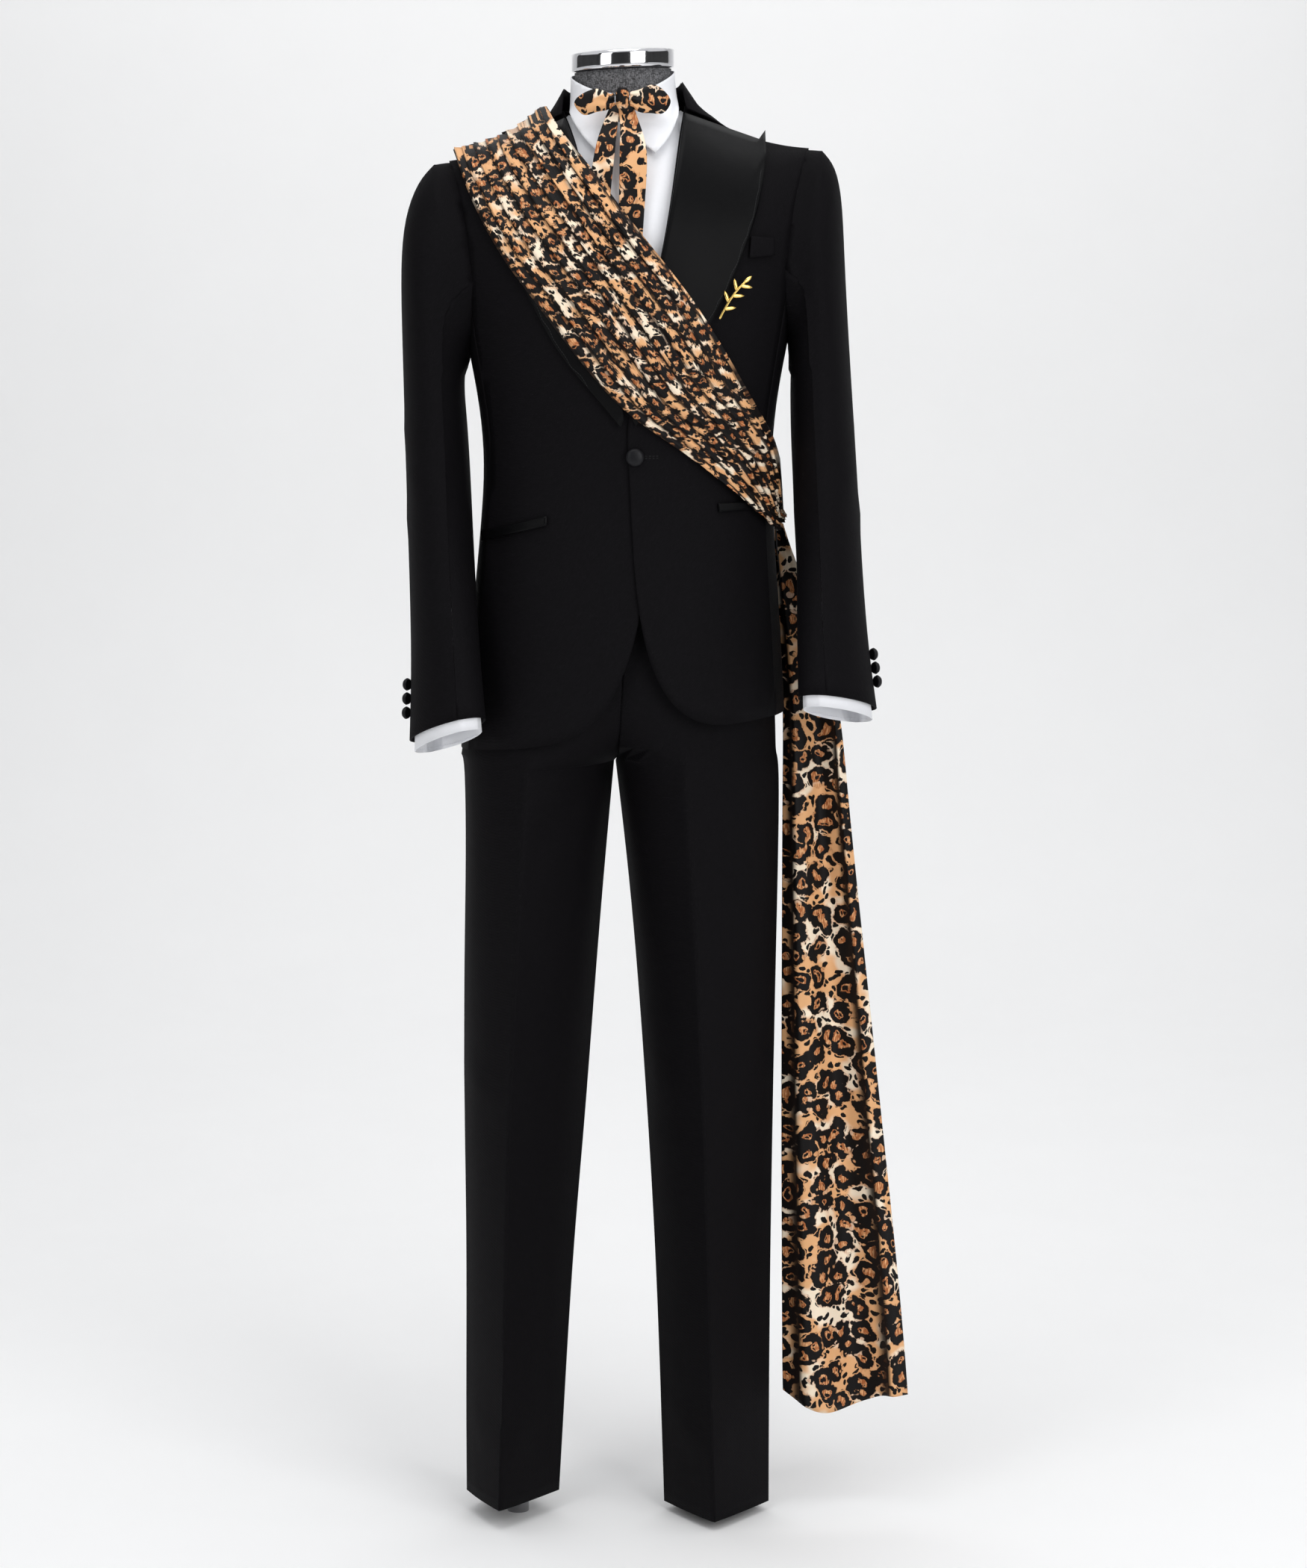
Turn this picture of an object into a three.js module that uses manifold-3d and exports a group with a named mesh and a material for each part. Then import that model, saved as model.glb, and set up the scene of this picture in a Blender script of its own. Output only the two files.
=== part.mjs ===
// A dinner suit with a leopard-print sash and scarf bow, dressed on a limbless form that stands on a pole.
// Millimetres, +Z up, the front faces -Y, the wearer's left is +X, and the floor is z = 0.
import * as THREE from "three";
import Module from "manifold-3d";
import { mergeVertices } from "three/addons/utils/BufferGeometryUtils.js";

// Driving dimensions
const SEAM_GAP = 0.3;
const WOOL = 1.8;
const SATIN = 1.5;
const COTTON = 1.0;
const CREPE = 1.5;
const POCKET_LAY = 0.9;
const JET_LAY = 1.4;
const LAY = 2.1; // clearance of a piece that lies on a curved panel
const SHIRT_INSET = 9;
const FRONT_LIFT = 1.6; // how far each front moves off its neighbour where they lap
const FORM_INSET = 14;
const BODY_POWER = 2.3; // how square the body's sections are
const FRONT_DROP = 200; // height over which the front rolls up to the shoulder ridge
const BACK_DROP = 170;
const RIDGE_Y = 8; // the shoulder ridge lies a little behind the middle
const ARMHOLE = { tip: 198, tipZ: 1550, pit: 175, pitZ: 1338, bow: 13, depth: 70, seam: 125 };
const JUST_BEHIND = 0.01; // degrees past the pit, so that the seam counts as the back's
const CHEST_Z = 1383; // where the side seams meet the armhole
const NECK = { halfWidth: 67, shirtHalfWidth: 61, frontZ: 1592, backZ: 1597 };
const COLLAR_STAND = 20; // how far the jacket collar stands up above the shoulder
const BREAK_Z = 1262; // where the lapels begin to roll
const CUT_Z = 1100; // where the front edge begins to round away
const HEM_Z = 917;
const CUFF_SHOW = 12; // how far the shirt cuff stands out of the sleeve
const BASE = { radius: 170, height: 8, edge: 2 };
const POLE = { x: -120, y: 0, radius: 12.5 };
const TORSO_FOOT = 945;
const NECK_RADIUS = 54;
const CAP = { radius: 56.5, bottom: 1640.5, top: 1662 };
const SHIRT_HEM = 1116;
const TROUSER_TOP = 1110;

// Half width, depth to the front and depth to the back of the jacket at each height
const BODY = [
  { z: 880, half: 184, front: 128, back: 128 },
  { z: 1000, half: 176, front: 125, back: 122 },
  { z: 1080, half: 169, front: 120, back: 112 },
  { z: 1145, half: 163.5, front: 116, back: 105 },
  { z: 1244, half: 160, front: 114, back: 101 },
  { z: 1310, half: 171, front: 123, back: 110 },
  { z: 1345, half: 178, front: 127, back: 116 },
  { z: 1383, half: 184, front: 128, back: 120 },
  { z: 1444, half: 206, front: 126, back: 122 },
  { z: 1500, half: 214, front: 124, back: 120 },
  { z: 1640, half: 220, front: 120, back: 112 },
];
// Height of the shoulder ridge at each distance from the middle
const RIDGE = [
  { x: 0, z: 1622 },
  { x: 40, z: 1618 },
  { x: 63, z: 1603 },
  { x: 80, z: 1591 },
  { x: 110, z: 1574 },
  { x: 143, z: 1561 },
  { x: 175, z: 1553 },
  { x: 198, z: 1550 },
  { x: 240, z: 1548 },
];
// How far the middle line stands to the wearer's left, and how much the cloth climbs towards that side
const POSTURE = [
  { z: 880, sway: 0, lean: 0.12 },
  { z: 1000, sway: 2, lean: 0.1 },
  { z: 1145, sway: 5, lean: 0.08 },
  { z: 1244, sway: 7.5, lean: 0.06 },
  { z: 1383, sway: 8, lean: 0.045 },
  { z: 1550, sway: 8, lean: 0.035 },
  { z: 1610, sway: 2, lean: 0.045 },
  { z: 1680, sway: 1.5, lean: 0.055 },
];
// The jacket's front edge from the cutaway to the break, measured from the middle to the piece's own side
const FRONT_EDGE = [
  { z: 1100, left: 10.5, right: -24 },
  { z: 1150, left: 6, right: -22 },
  { z: 1262, left: -2, right: -18 },
];
// The roll line, from the break to the neck
const ROLL = [
  { z: 1262, x: 3 },
  { z: 1300, x: 10 },
  { z: 1409, x: 29.4 },
  { z: 1472, x: 41.5 },
  { z: 1512, x: 47.5 },
  { z: 1568, x: 57 },
  { z: 1600, x: 67 },
];
// The outer edge of the lapel, from the break to the peak
const LAPEL_EDGE = [
  { z: 1256, x: 8 },
  { z: 1301, x: 43 },
  { z: 1329, x: 68 },
  { z: 1369, x: 91 },
  { z: 1417, x: 115 },
  { z: 1448, x: 127 },
  { z: 1484, x: 138.5 },
  { z: 1520, x: 145.5 },
  { z: 1571, x: 151.5 },
];
const GORGE = { neckX: 63, neckZ: 1588, notchX: 142, notchZ: 1558 };
// The rounded front corner, measured out from the front edge
const CUTAWAY = [
  { z: 1100, out: 0 },
  { z: 1045, out: 6 },
  { z: 1005, out: 16 },
  { z: 970, out: 29 },
  { z: 944, out: 45 },
  { z: 926, out: 66 },
  { z: 917, out: 90 },
];
// The sleeve's rings: outer and inner point seen from the front, middle and half depth, and forward tilt
const SLEEVE = [
  { outX: 213, outZ: 1548, inX: 179.5, inZ: 1322, y: 1, depth: 75, turn: 0, tilt: 0, hang: 0.3 },
  { outX: 230, outZ: 1530, inX: 180, inZ: 1305, y: 1, depth: 77, turn: 0, tilt: 0, hang: 0.6 },
  { outX: 241, outZ: 1492, inX: 179, inZ: 1286, y: 1, depth: 77, turn: 0, tilt: 0, hang: 1 },
  { outX: 244.5, outZ: 1440, inX: 178, inZ: 1266, y: 0, depth: 76, turn: 0, tilt: 0, hang: 1 },
  { outX: 246, outZ: 1360, inX: 177, inZ: 1235, y: -1, depth: 74, turn: 2, tilt: 0.02, hang: 1 },
  { outX: 248, outZ: 1262, inX: 176.5, inZ: 1185, y: -8, depth: 71, turn: 5, tilt: 0.06, hang: 1 },
  { outX: 249.5, outZ: 1165, inX: 175.5, inZ: 1125, y: -27, depth: 66, turn: 11, tilt: 0.12, hang: 1 },
  { outX: 250, outZ: 1070, inX: 173.5, inZ: 1058, y: -55, depth: 60, turn: 19, tilt: 0.18, hang: 1 },
  { outX: 252, outZ: 993, inX: 171, inZ: 1000, y: -80, depth: 54, turn: 23, tilt: 0.22, hang: 1 },
  { outX: 257, outZ: 928, inX: 168, inZ: 951, y: -101, depth: 49, turn: 24, tilt: 0.26, hang: 1 },
];
// How much higher an inner sleeve passes over the armhole's pit at the first rings, for each mm of inset
const PIT_RISE = [3.6, 2, 1];
// How the hanging sleeves shift towards the wearer's left, and their lean
const SLEEVE_POSTURE = [
  { z: 920, sway: 24, lean: 0.07 },
  { z: 1012, sway: 19, lean: 0.065 },
  { z: 1145, sway: 13, lean: 0.06 },
  { z: 1277, sway: 7, lean: 0.05 },
  { z: 1343, sway: 4, lean: 0.045 },
  { z: 1449, sway: 0.5, lean: 0.04 },
  { z: 1550, sway: 5, lean: 0.035 },
];
// The trouser legs seen from the front: outer edge, front crease and inner edge of each leg
const RIGHT_LEG = [
  { z: 38, outer: -179, crease: -139, inner: -73, front: 74, back: 74, round: 0.03 },
  { z: 157, outer: -179, crease: -135, inner: -66, front: 77, back: 77, round: 0.04 },
  { z: 320, outer: -177.5, crease: -130, inner: -56, front: 82, back: 82, round: 0.06 },
  { z: 480, outer: -179, crease: -126, inner: -42, front: 88, back: 86, round: 0.09 },
  { z: 640, outer: -178.5, crease: -118, inner: -30, front: 93, back: 93, round: 0.12 },
  { z: 760, outer: -175.5, crease: -112.5, inner: -20, front: 99, back: 100, round: 0.14 },
  { z: 880, outer: -176, crease: -104, inner: -9, front: 104, back: 106, round: 0.15 },
];
const LEFT_LEG = [
  { z: 25, outer: 167, crease: 104, inner: 47, front: 74, back: 74, round: 0.03 },
  { z: 157, outer: 167, crease: 99, inner: 43, front: 77, back: 77, round: 0.04 },
  { z: 320, outer: 168, crease: 96, inner: 37, front: 82, back: 82, round: 0.06 },
  { z: 480, outer: 170, crease: 91, inner: 28, front: 88, back: 86, round: 0.09 },
  { z: 640, outer: 172.5, crease: 84, inner: 17, front: 93, back: 93, round: 0.12 },
  { z: 760, outer: 175, crease: 79, inner: 6.5, front: 99, back: 100, round: 0.14 },
  { z: 880, outer: 176, crease: 70, inner: -7.5, front: 104, back: 106, round: 0.15 },
];
const HIP_ROUND = 0.15; // how far the side of the hips bows out, as a share of its width
// The trousers above the crotch: the creases run on up, and fill is how far they stand out
const HIPS = [
  { z: 887, half: 176, front: 106, back: 108, middle: -4, crotch: 0.18, right: -104, left: 70.5, fill: 0.985 },
  { z: 903, half: 174.5, front: 108, back: 110, middle: -3, crotch: 0.66, right: -103, left: 72, fill: 0.965 },
  { z: 935, half: 172, front: 109, back: 111, middle: -1, crotch: 0.93, right: -101, left: 75, fill: 0.95 },
  { z: 975, half: 167, front: 108, back: 108, middle: 1, crotch: 1, right: -97, left: 78, fill: 0.935 },
  { z: 1030, half: 159, front: 104, back: 100, middle: 2.5, crotch: 1, right: -92, left: 80, fill: 0.93 },
  { z: 1078, half: 152, front: 100, back: 94, middle: 3.5, crotch: 1, right: -88, left: 80, fill: 0.93 },
];
// The edges of the sash seen from the front, from the shoulder ridge to the hip
const SASH = [
  { upX: -76.7, upZ: 1591, lowX: -185, lowZ: 1549 },
  { upX: -64.8, upZ: 1571, lowX: -177, lowZ: 1527 },
  { upX: -44.9, upZ: 1543, lowX: -167, lowZ: 1505 },
  { upX: -14, upZ: 1501, lowX: -150, lowZ: 1470 },
  { upX: 31, upZ: 1444, lowX: -121, lowZ: 1424 },
  { upX: 59, upZ: 1409, lowX: -93, lowZ: 1389 },
  { upX: 87, upZ: 1369, lowX: -50, lowZ: 1330 },
  { upX: 119, upZ: 1313, lowX: 0, lowZ: 1271 },
  { upX: 144, upZ: 1265, lowX: 55, lowZ: 1233 },
  { upX: 161, upZ: 1233, lowX: 95, lowZ: 1200 },
  { upX: 168, upZ: 1195, lowX: 135, lowZ: 1163 },
  { upX: 170, upZ: 1160, lowX: 158, lowZ: 1138 },
];
// The hanging end of the sash: its two edges and how deep its folds are
const TAIL = [
  { z: 1143, left: 169.6, right: 180, depth: 2, y: 30 },
  { z: 1100, left: 172, right: 194, depth: 3, y: 33 },
  { z: 1030, left: 176, right: 222, depth: 4, y: 34 },
  { z: 935, left: 181, right: 245, depth: 7, y: 24 },
  { z: 819, left: 180, right: 255, depth: 9, y: 14 },
  { z: 685, left: 180, right: 270, depth: 10, y: 8 },
  { z: 482, left: 180, right: 292, depth: 12, y: 4 },
  { z: 346, left: 181, right: 307, depth: 13, y: 1 },
  { z: 208, left: 182, right: 321, depth: 14, y: 0 },
  { z: 130, left: 183, right: 325, depth: 14, y: 0 },
];

// Colours
const MATERIALS = {
  wool: new THREE.MeshStandardMaterial({ color: 0x101013, roughness: 0.9 }),
  satin: new THREE.MeshStandardMaterial({ color: 0x08080a, roughness: 0.35 }),
  cotton: new THREE.MeshStandardMaterial({ color: 0xf2f4fa, roughness: 0.8 }),
  leopard: new THREE.MeshStandardMaterial({ color: 0xb98a62, roughness: 0.55 }),
  gold: new THREE.MeshStandardMaterial({ color: 0xd9ab3a, roughness: 0.25, metalness: 1 }),
  linen: new THREE.MeshStandardMaterial({ color: 0x55565a, roughness: 0.95 }),
  chrome: new THREE.MeshStandardMaterial({ color: 0xc8c8cc, roughness: 0.08, metalness: 1 }),
};

const suit = new THREE.Group();
suit.name = "tuxedo_on_dress_form";

const wasm = await Module();
wasm.setup();

const lerp = THREE.MathUtils.lerp;
const clamp = THREE.MathUtils.clamp;
const rad = THREE.MathUtils.degToRad;
const point = (x, y, z) => new THREE.Vector3(x, y, z);

// Reads one column of a table at a place along it, as a smooth curve through its rows.
function read(rows, column, at, by = "z") {
  const sign = rows[rows.length - 1][by] > rows[0][by] ? 1 : -1;
  const last = rows.length - 1;
  const slope = (i) => {
    const a = rows[Math.max(i - 1, 0)];
    const b = rows[Math.min(i + 1, last)];
    return (b[column] - a[column]) / (b[by] - a[by]);
  };
  if (sign * (at - rows[0][by]) <= 0) return rows[0][column];
  if (sign * (at - rows[last][by]) >= 0) return rows[last][column];
  let i = 0;
  while (sign * (at - rows[i + 1][by]) > 0) i += 1;
  const span = rows[i + 1][by] - rows[i][by];
  const t = (at - rows[i][by]) / span;
  const rise = t * t * (3 - 2 * t);
  const leave = t * (1 - t) * (1 - t) * span * slope(i);
  const arrive = -t * t * (1 - t) * span * slope(i + 1);
  return lerp(rows[i][column], rows[i + 1][column], rise) + leave + arrive;
}

// Reads every column of a table by the row number, which may lie between two rows.
function rowAt(rows, position) {
  const numbered = rows.map((row, i) => ({ ...row, i }));
  const out = {};
  for (const column of Object.keys(rows[0])) out[column] = read(numbered, column, position, "i");
  return out;
}

// The body

// A point of the body's surface from its angle round the body (0 front, 90 left side, 180 back) and height.
function onBody(angle, z, inset = 0) {
  const half = read(BODY, "half", z) - inset;
  const across = Math.sign(Math.sin(angle)) * Math.abs(Math.sin(angle)) ** (2 / BODY_POWER);
  const deep = Math.abs(Math.cos(angle)) ** (2 / BODY_POWER);
  const x = half * across;
  const front = Math.cos(angle) > 0;
  const drop = front ? FRONT_DROP : BACK_DROP;
  const ridge = read(RIDGE, "z", Math.abs(x), "x") - inset;
  const climb = clamp((z - ridge + drop) / drop, 0, 1);
  const roll = Math.sqrt(1 - climb * climb);
  const reach = read(BODY, front ? "front" : "back", z) - inset;
  const y = (front ? -1 : 1) * reach * deep * roll + RIDGE_Y * (1 - roll);
  return point(x, y, z);
}

// The angle of the surface point that is seen at x, z from the front (side 1) or from behind (side -1).
function angleAt(x, z, inset = 0, side = 1) {
  const share = clamp(Math.abs(x) / (read(BODY, "half", z) - inset), 0, 1);
  const angle = Math.asin(share ** (BODY_POWER / 2)) * Math.sign(x || 1);
  return side > 0 ? angle : Math.PI - angle;
}

// Moves a point from the upright body to where the garment hangs.
function hang(p, posture = POSTURE) {
  const lean = read(posture, "lean", p.z);
  return point(p.x + read(posture, "sway", p.z), p.y, p.z + lean * p.x);
}

// The x and z on the upright body of a place seen from the front.
function upright(x, z) {
  let height = z;
  let across = x;
  for (let i = 0; i < 6; i += 1) {
    across = x - read(POSTURE, "sway", height);
    height = z - read(POSTURE, "lean", height) * across;
  }
  return { x: across, z: height };
}

// The outward normal of the body's surface.
function bodyNormal(angle, z, inset) {
  const step = 0.01;
  const across = onBody(angle + step, z, inset).sub(onBody(angle - step, z, inset));
  const up = onBody(angle, z + 1, inset).sub(onBody(angle, z - 1, inset));
  return across.cross(up).normalize();
}

// A point of the upright body that lies off its surface by a distance.
function offBody(x, z, distance, side = 1) {
  const angle = angleAt(x, z, 0, side);
  return onBody(angle, z).addScaledVector(bodyNormal(angle, z), distance);
}

// Grids and walls

// Fills the inside of four edges, each a list of {a, z} pairs, and gives rows from the bottom to the top.
function fill(bottom, top, left, right) {
  const columns = bottom.length - 1;
  const rows = left.length - 1;
  const grid = [];
  for (let r = 0; r <= rows; r += 1) {
    const t = r / rows;
    const line = [];
    for (let c = 0; c <= columns; c += 1) {
      const s = c / columns;
      const place = {};
      for (const key of ["a", "z"]) {
        const ruled = lerp(bottom[c][key], top[c][key], t) + lerp(left[r][key], right[r][key], s);
        const low = lerp(bottom[0][key], bottom[columns][key], s);
        const high = lerp(top[0][key], top[columns][key], s);
        place[key] = ruled - lerp(low, high, t);
      }
      line.push(place);
    }
    grid.push(line);
  }
  return grid;
}

// Points at equal steps along a line of points.
function evenly(line, steps, keys = ["x", "z"]) {
  const along = [0];
  for (let i = 1; i < line.length; i += 1) {
    const d = keys.map((key) => line[i][key] - line[i - 1][key]);
    along.push(along[i - 1] + Math.hypot(...d));
  }
  const out = [];
  for (let k = 0; k <= steps; k += 1) {
    const target = (along[along.length - 1] * k) / steps;
    let i = 0;
    while (i < line.length - 2 && along[i + 1] < target) i += 1;
    const t = (target - along[i]) / (along[i + 1] - along[i]);
    const place = {};
    for (const key of keys) place[key] = lerp(line[i][key], line[i + 1][key], t);
    out.push(place);
  }
  return out;
}

// The normal at each point of a grid, which faces out when rows rise and columns run round to the left.
function gridNormals(grid, closed) {
  const rows = grid.length;
  const columns = grid[0].length;
  return grid.map((line, r) =>
    line.map((_, c) => {
      const before = closed ? (c + columns - 1) % columns : Math.max(c - 1, 0);
      const after = closed ? (c + 1) % columns : Math.min(c + 1, columns - 1);
      const across = line[after].clone().sub(line[before]);
      const up = grid[Math.min(r + 1, rows - 1)][c].clone().sub(grid[Math.max(r - 1, 0)][c]);
      return across.cross(up).normalize();
    }),
  );
}

// Gives pieces that meet at a seam one shared normal at each point of the seam.
function shareNormals(pieces) {
  const key = (p) => [p.x, p.y, p.z].map((v) => Math.round(v * 20)).join();
  const sums = new Map();
  for (const piece of pieces) {
    piece.normals = gridNormals(piece.grid, piece.closed);
    piece.grid.forEach((line, r) =>
      line.forEach((p, c) => {
        const sum = sums.get(key(p)) || point(0, 0, 0);
        sums.set(key(p), sum.add(piece.normals[r][c]));
      }),
    );
  }
  for (const piece of pieces) {
    piece.normals = piece.grid.map((line) => line.map((p) => sums.get(key(p)).clone().normalize()));
  }
}

// Draws the edges of a piece back by half the seam gap, so that it stays clear of its neighbour.
function drawBack(grid, seams) {
  const rows = grid.length - 1;
  const columns = grid[0].length - 1;
  const moved = grid.map((line) => line.map((p) => p.clone()));
  const pull = (r, c, toR, toC) => {
    const way = grid[toR][toC].clone().sub(grid[r][c]).normalize();
    moved[r][c].addScaledVector(way, SEAM_GAP / 2);
  };
  for (let r = 0; r <= rows; r += 1) {
    if (seams.includes("start")) pull(r, 0, r, 1);
    if (seams.includes("end")) pull(r, columns, r, columns - 1);
  }
  for (let c = 0; c <= columns; c += 1) {
    if (seams.includes("bottom")) pull(0, c, 1, c);
    if (seams.includes("top")) pull(rows, c, rows - 1, c);
  }
  return moved;
}

// Makes the closed wall that lies between a grid of outer points and the same grid moved in.
function wallGeometry(outer, normals, wall, closed) {
  const rows = outer.length;
  const columns = outer[0].length;
  const positions = [];
  const inner = outer.map((line, r) =>
    line.map((p, c) => p.clone().addScaledVector(normals[r][c], -wall)),
  );
  for (const layer of [outer, inner]) {
    for (const line of layer) for (const p of line) positions.push(p.x, p.y, p.z);
  }
  const index = [];
  const at = (layer, r, c) => layer * rows * columns + r * columns + (c % columns);
  const quad = (a, b, c, d) => index.push(a, b, c, a, c, d);
  const spans = closed ? columns : columns - 1;
  for (let r = 0; r < rows - 1; r += 1) {
    for (let c = 0; c < spans; c += 1) {
      quad(at(0, r, c), at(0, r, c + 1), at(0, r + 1, c + 1), at(0, r + 1, c));
      quad(at(1, r, c), at(1, r + 1, c), at(1, r + 1, c + 1), at(1, r, c + 1));
    }
  }
  for (let c = 0; c < spans; c += 1) {
    const top = rows - 1;
    quad(at(0, 0, c), at(1, 0, c), at(1, 0, c + 1), at(0, 0, c + 1));
    quad(at(0, top, c), at(0, top, c + 1), at(1, top, c + 1), at(1, top, c));
  }
  if (!closed) {
    const end = columns - 1;
    for (let r = 0; r < rows - 1; r += 1) {
      quad(at(0, r, 0), at(0, r + 1, 0), at(1, r + 1, 0), at(1, r, 0));
      quad(at(0, r, end), at(1, r, end), at(1, r + 1, end), at(0, r + 1, end));
    }
  }
  return indexed(positions, index);
}

function indexed(positions, index) {
  const geometry = new THREE.BufferGeometry();
  geometry.setAttribute("position", new THREE.Float32BufferAttribute(positions, 3));
  geometry.setIndex(index);
  return geometry;
}

function addMesh(name, geometry, material) {
  geometry.computeVertexNormals();
  const mesh = new THREE.Mesh(geometry, MATERIALS[material].clone());
  mesh.name = name;
  suit.add(mesh);
  return mesh;
}

// Adds pieces of one garment: each has a name, a grid, a wall, a material and the edges that are seams.
function sew(pieces) {
  shareNormals(pieces);
  for (const piece of pieces) {
    const outer = drawBack(piece.grid, piece.seams || []);
    const geometry = wallGeometry(outer, piece.normals, piece.wall, piece.closed);
    addMesh(piece.name, geometry, piece.material);
  }
}

// The same piece for the wearer's right: mirrored, with its columns turned to run the same way round.
function mirrored(grid, closed = false) {
  return grid.map((line) => {
    const flipped = line.map((p) => point(-p.x, p.y, p.z)).reverse();
    if (closed) flipped.unshift(flipped.pop());
    return flipped;
  });
}

// The upper garments

// A place on the armhole's edge: turn 0 is the shoulder tip, 90 the front, 180 the pit, 270 the back.
function armhole(turn, inset) {
  const t = rad(turn);
  const side = turn <= 180 ? 1 : -1;
  const middleZ = (ARMHOLE.tipZ + ARMHOLE.pitZ) / 2;
  const halfHeight = (ARMHOLE.tipZ - ARMHOLE.pitZ) / 2 - inset;
  const z = middleZ + halfHeight * Math.cos(t);
  if (Math.abs(turn - 180) >= 180 - ARMHOLE.seam) {
    const middle = (ARMHOLE.tip + ARMHOLE.pit) / 2;
    const x = middle + ((ARMHOLE.tip - ARMHOLE.pit) / 2) * Math.cos(t) - ARMHOLE.bow * Math.sin(t) ** 2;
    return { a: angleAt(x - inset, z, inset, side), z };
  }
  const reach = read(BODY, side > 0 ? "front" : "back", z) - inset;
  const deep = ((ARMHOLE.depth - inset) * Math.abs(Math.sin(t))) / reach;
  const angle = Math.acos(clamp(deep, 0, 1) ** (BODY_POWER / 2));
  return { a: side > 0 ? angle : Math.PI - angle, z };
}

// The line of a side seam from the hem to the armhole and on along its edge to the shoulder tip.
function sideLine(seamTurn, hemZ, inset, below, above) {
  const meet = armhole(seamTurn, inset);
  const tip = seamTurn <= 180 ? 0 : 360;
  const line = [];
  for (let i = 0; i < below; i += 1) line.push({ a: meet.a, z: lerp(hemZ, meet.z, i / below) });
  for (let i = 0; i <= above; i += 1) line.push(armhole(lerp(seamTurn, tip, i / above), inset));
  return line;
}

// The shoulder seam from the neck to the tip, on the front or the back.
function shoulderLine(steps, inset, side) {
  const line = [];
  const neckX = inset ? NECK.shirtHalfWidth : NECK.halfWidth;
  for (let i = 0; i <= steps; i += 1) {
    const x = lerp(neckX, ARMHOLE.tip - inset, i / steps);
    const z = read(RIDGE, "z", x, "x") - inset;
    line.push({ a: angleAt(x, z, inset, side), z });
  }
  return line;
}

const onSurface = (grid, inset, lift = () => 0) =>
  grid.map((line) =>
    line.map(({ a, z }) => {
      const p = onBody(a, z, inset);
      const off = lift(p);
      return off ? p.addScaledVector(bodyNormal(a, z, inset), off) : p;
    }),
  );

const rowsBelow = 7;
const rowsAbove = 6;
const shirtBelow = 4;

// One front of the jacket, from its rounded corner to the shoulder seam.
function jacketFront(edge, lift) {
  const columns = 8;
  const corner = CUTAWAY.map(({ z, out }) => ({ x: read(FRONT_EDGE, edge, CUT_Z) + out, z }));
  const seamFoot = onBody(armhole(ARMHOLE.seam, 0).a, HEM_Z);
  const hem = evenly([...corner, { x: seamFoot.x, z: HEM_Z }], columns);
  const left = [];
  for (let r = 0; r <= rowsBelow + rowsAbove; r += 1) {
    const low = r <= rowsBelow;
    const z = low
      ? lerp(CUT_Z, CHEST_Z, r / rowsBelow)
      : lerp(CHEST_Z, read(RIDGE, "z", NECK.halfWidth, "x"), (r - rowsBelow) / rowsAbove);
    const x = z < BREAK_Z ? read(FRONT_EDGE, edge, z) : read(ROLL, "x", z);
    left.push({ a: angleAt(x, z), z });
  }
  const bottom = hem.map(({ x, z }) => ({ a: angleAt(x, z), z }));
  const top = shoulderLine(columns, 0, 1);
  const right = sideLine(ARMHOLE.seam, HEM_Z, 0, rowsBelow, rowsAbove);
  return onSurface(fill(bottom, top, left, right), 0, lift);
}

// The side body under the arm.
function jacketSide() {
  const columns = 4;
  const left = sideLine(ARMHOLE.seam, HEM_Z, 0, rowsBelow, 1).slice(0, rowsBelow + 1);
  const right = sideLine(360 - ARMHOLE.seam, HEM_Z, 0, rowsBelow, 1).slice(0, rowsBelow + 1);
  const bottom = [];
  const top = [];
  for (let c = 0; c <= columns; c += 1) {
    const turn = lerp(ARMHOLE.seam, 360 - ARMHOLE.seam, c / columns);
    bottom.push({ a: lerp(left[0].a, right[0].a, c / columns), z: HEM_Z });
    top.push(armhole(turn, 0));
  }
  return onSurface(fill(bottom, top, left, right), 0);
}

// The back from the side seam to the centre, up to the shoulder seam and the neck.
function backPanel(seamTurn, hemZ, inset, below, above, neckZ, shoulderSteps) {
  const neckSteps = 3;
  const columns = shoulderSteps + neckSteps;
  const side = sideLine(seamTurn, hemZ, inset, below, above);
  const shoulder = shoulderLine(shoulderSteps, inset, -1).reverse();
  const neckEnd = shoulder[shoulder.length - 1];
  const neck = [];
  for (let i = 1; i <= neckSteps; i += 1) {
    const t = i / neckSteps;
    const z = lerp(neckEnd.z, neckZ, Math.sin((t * Math.PI) / 2));
    neck.push({ a: lerp(neckEnd.a, Math.PI, t), z });
  }
  const top = [...shoulder, ...neck];
  const bottom = [];
  for (let c = 0; c <= columns; c += 1) bottom.push({ a: lerp(side[0].a, Math.PI, c / columns), z: hemZ });
  const centre = side.map((_, r) => ({ a: Math.PI, z: lerp(hemZ, neckZ, r / (below + above)) }));
  return onSurface(fill(bottom, top, side, centre), inset);
}

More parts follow.
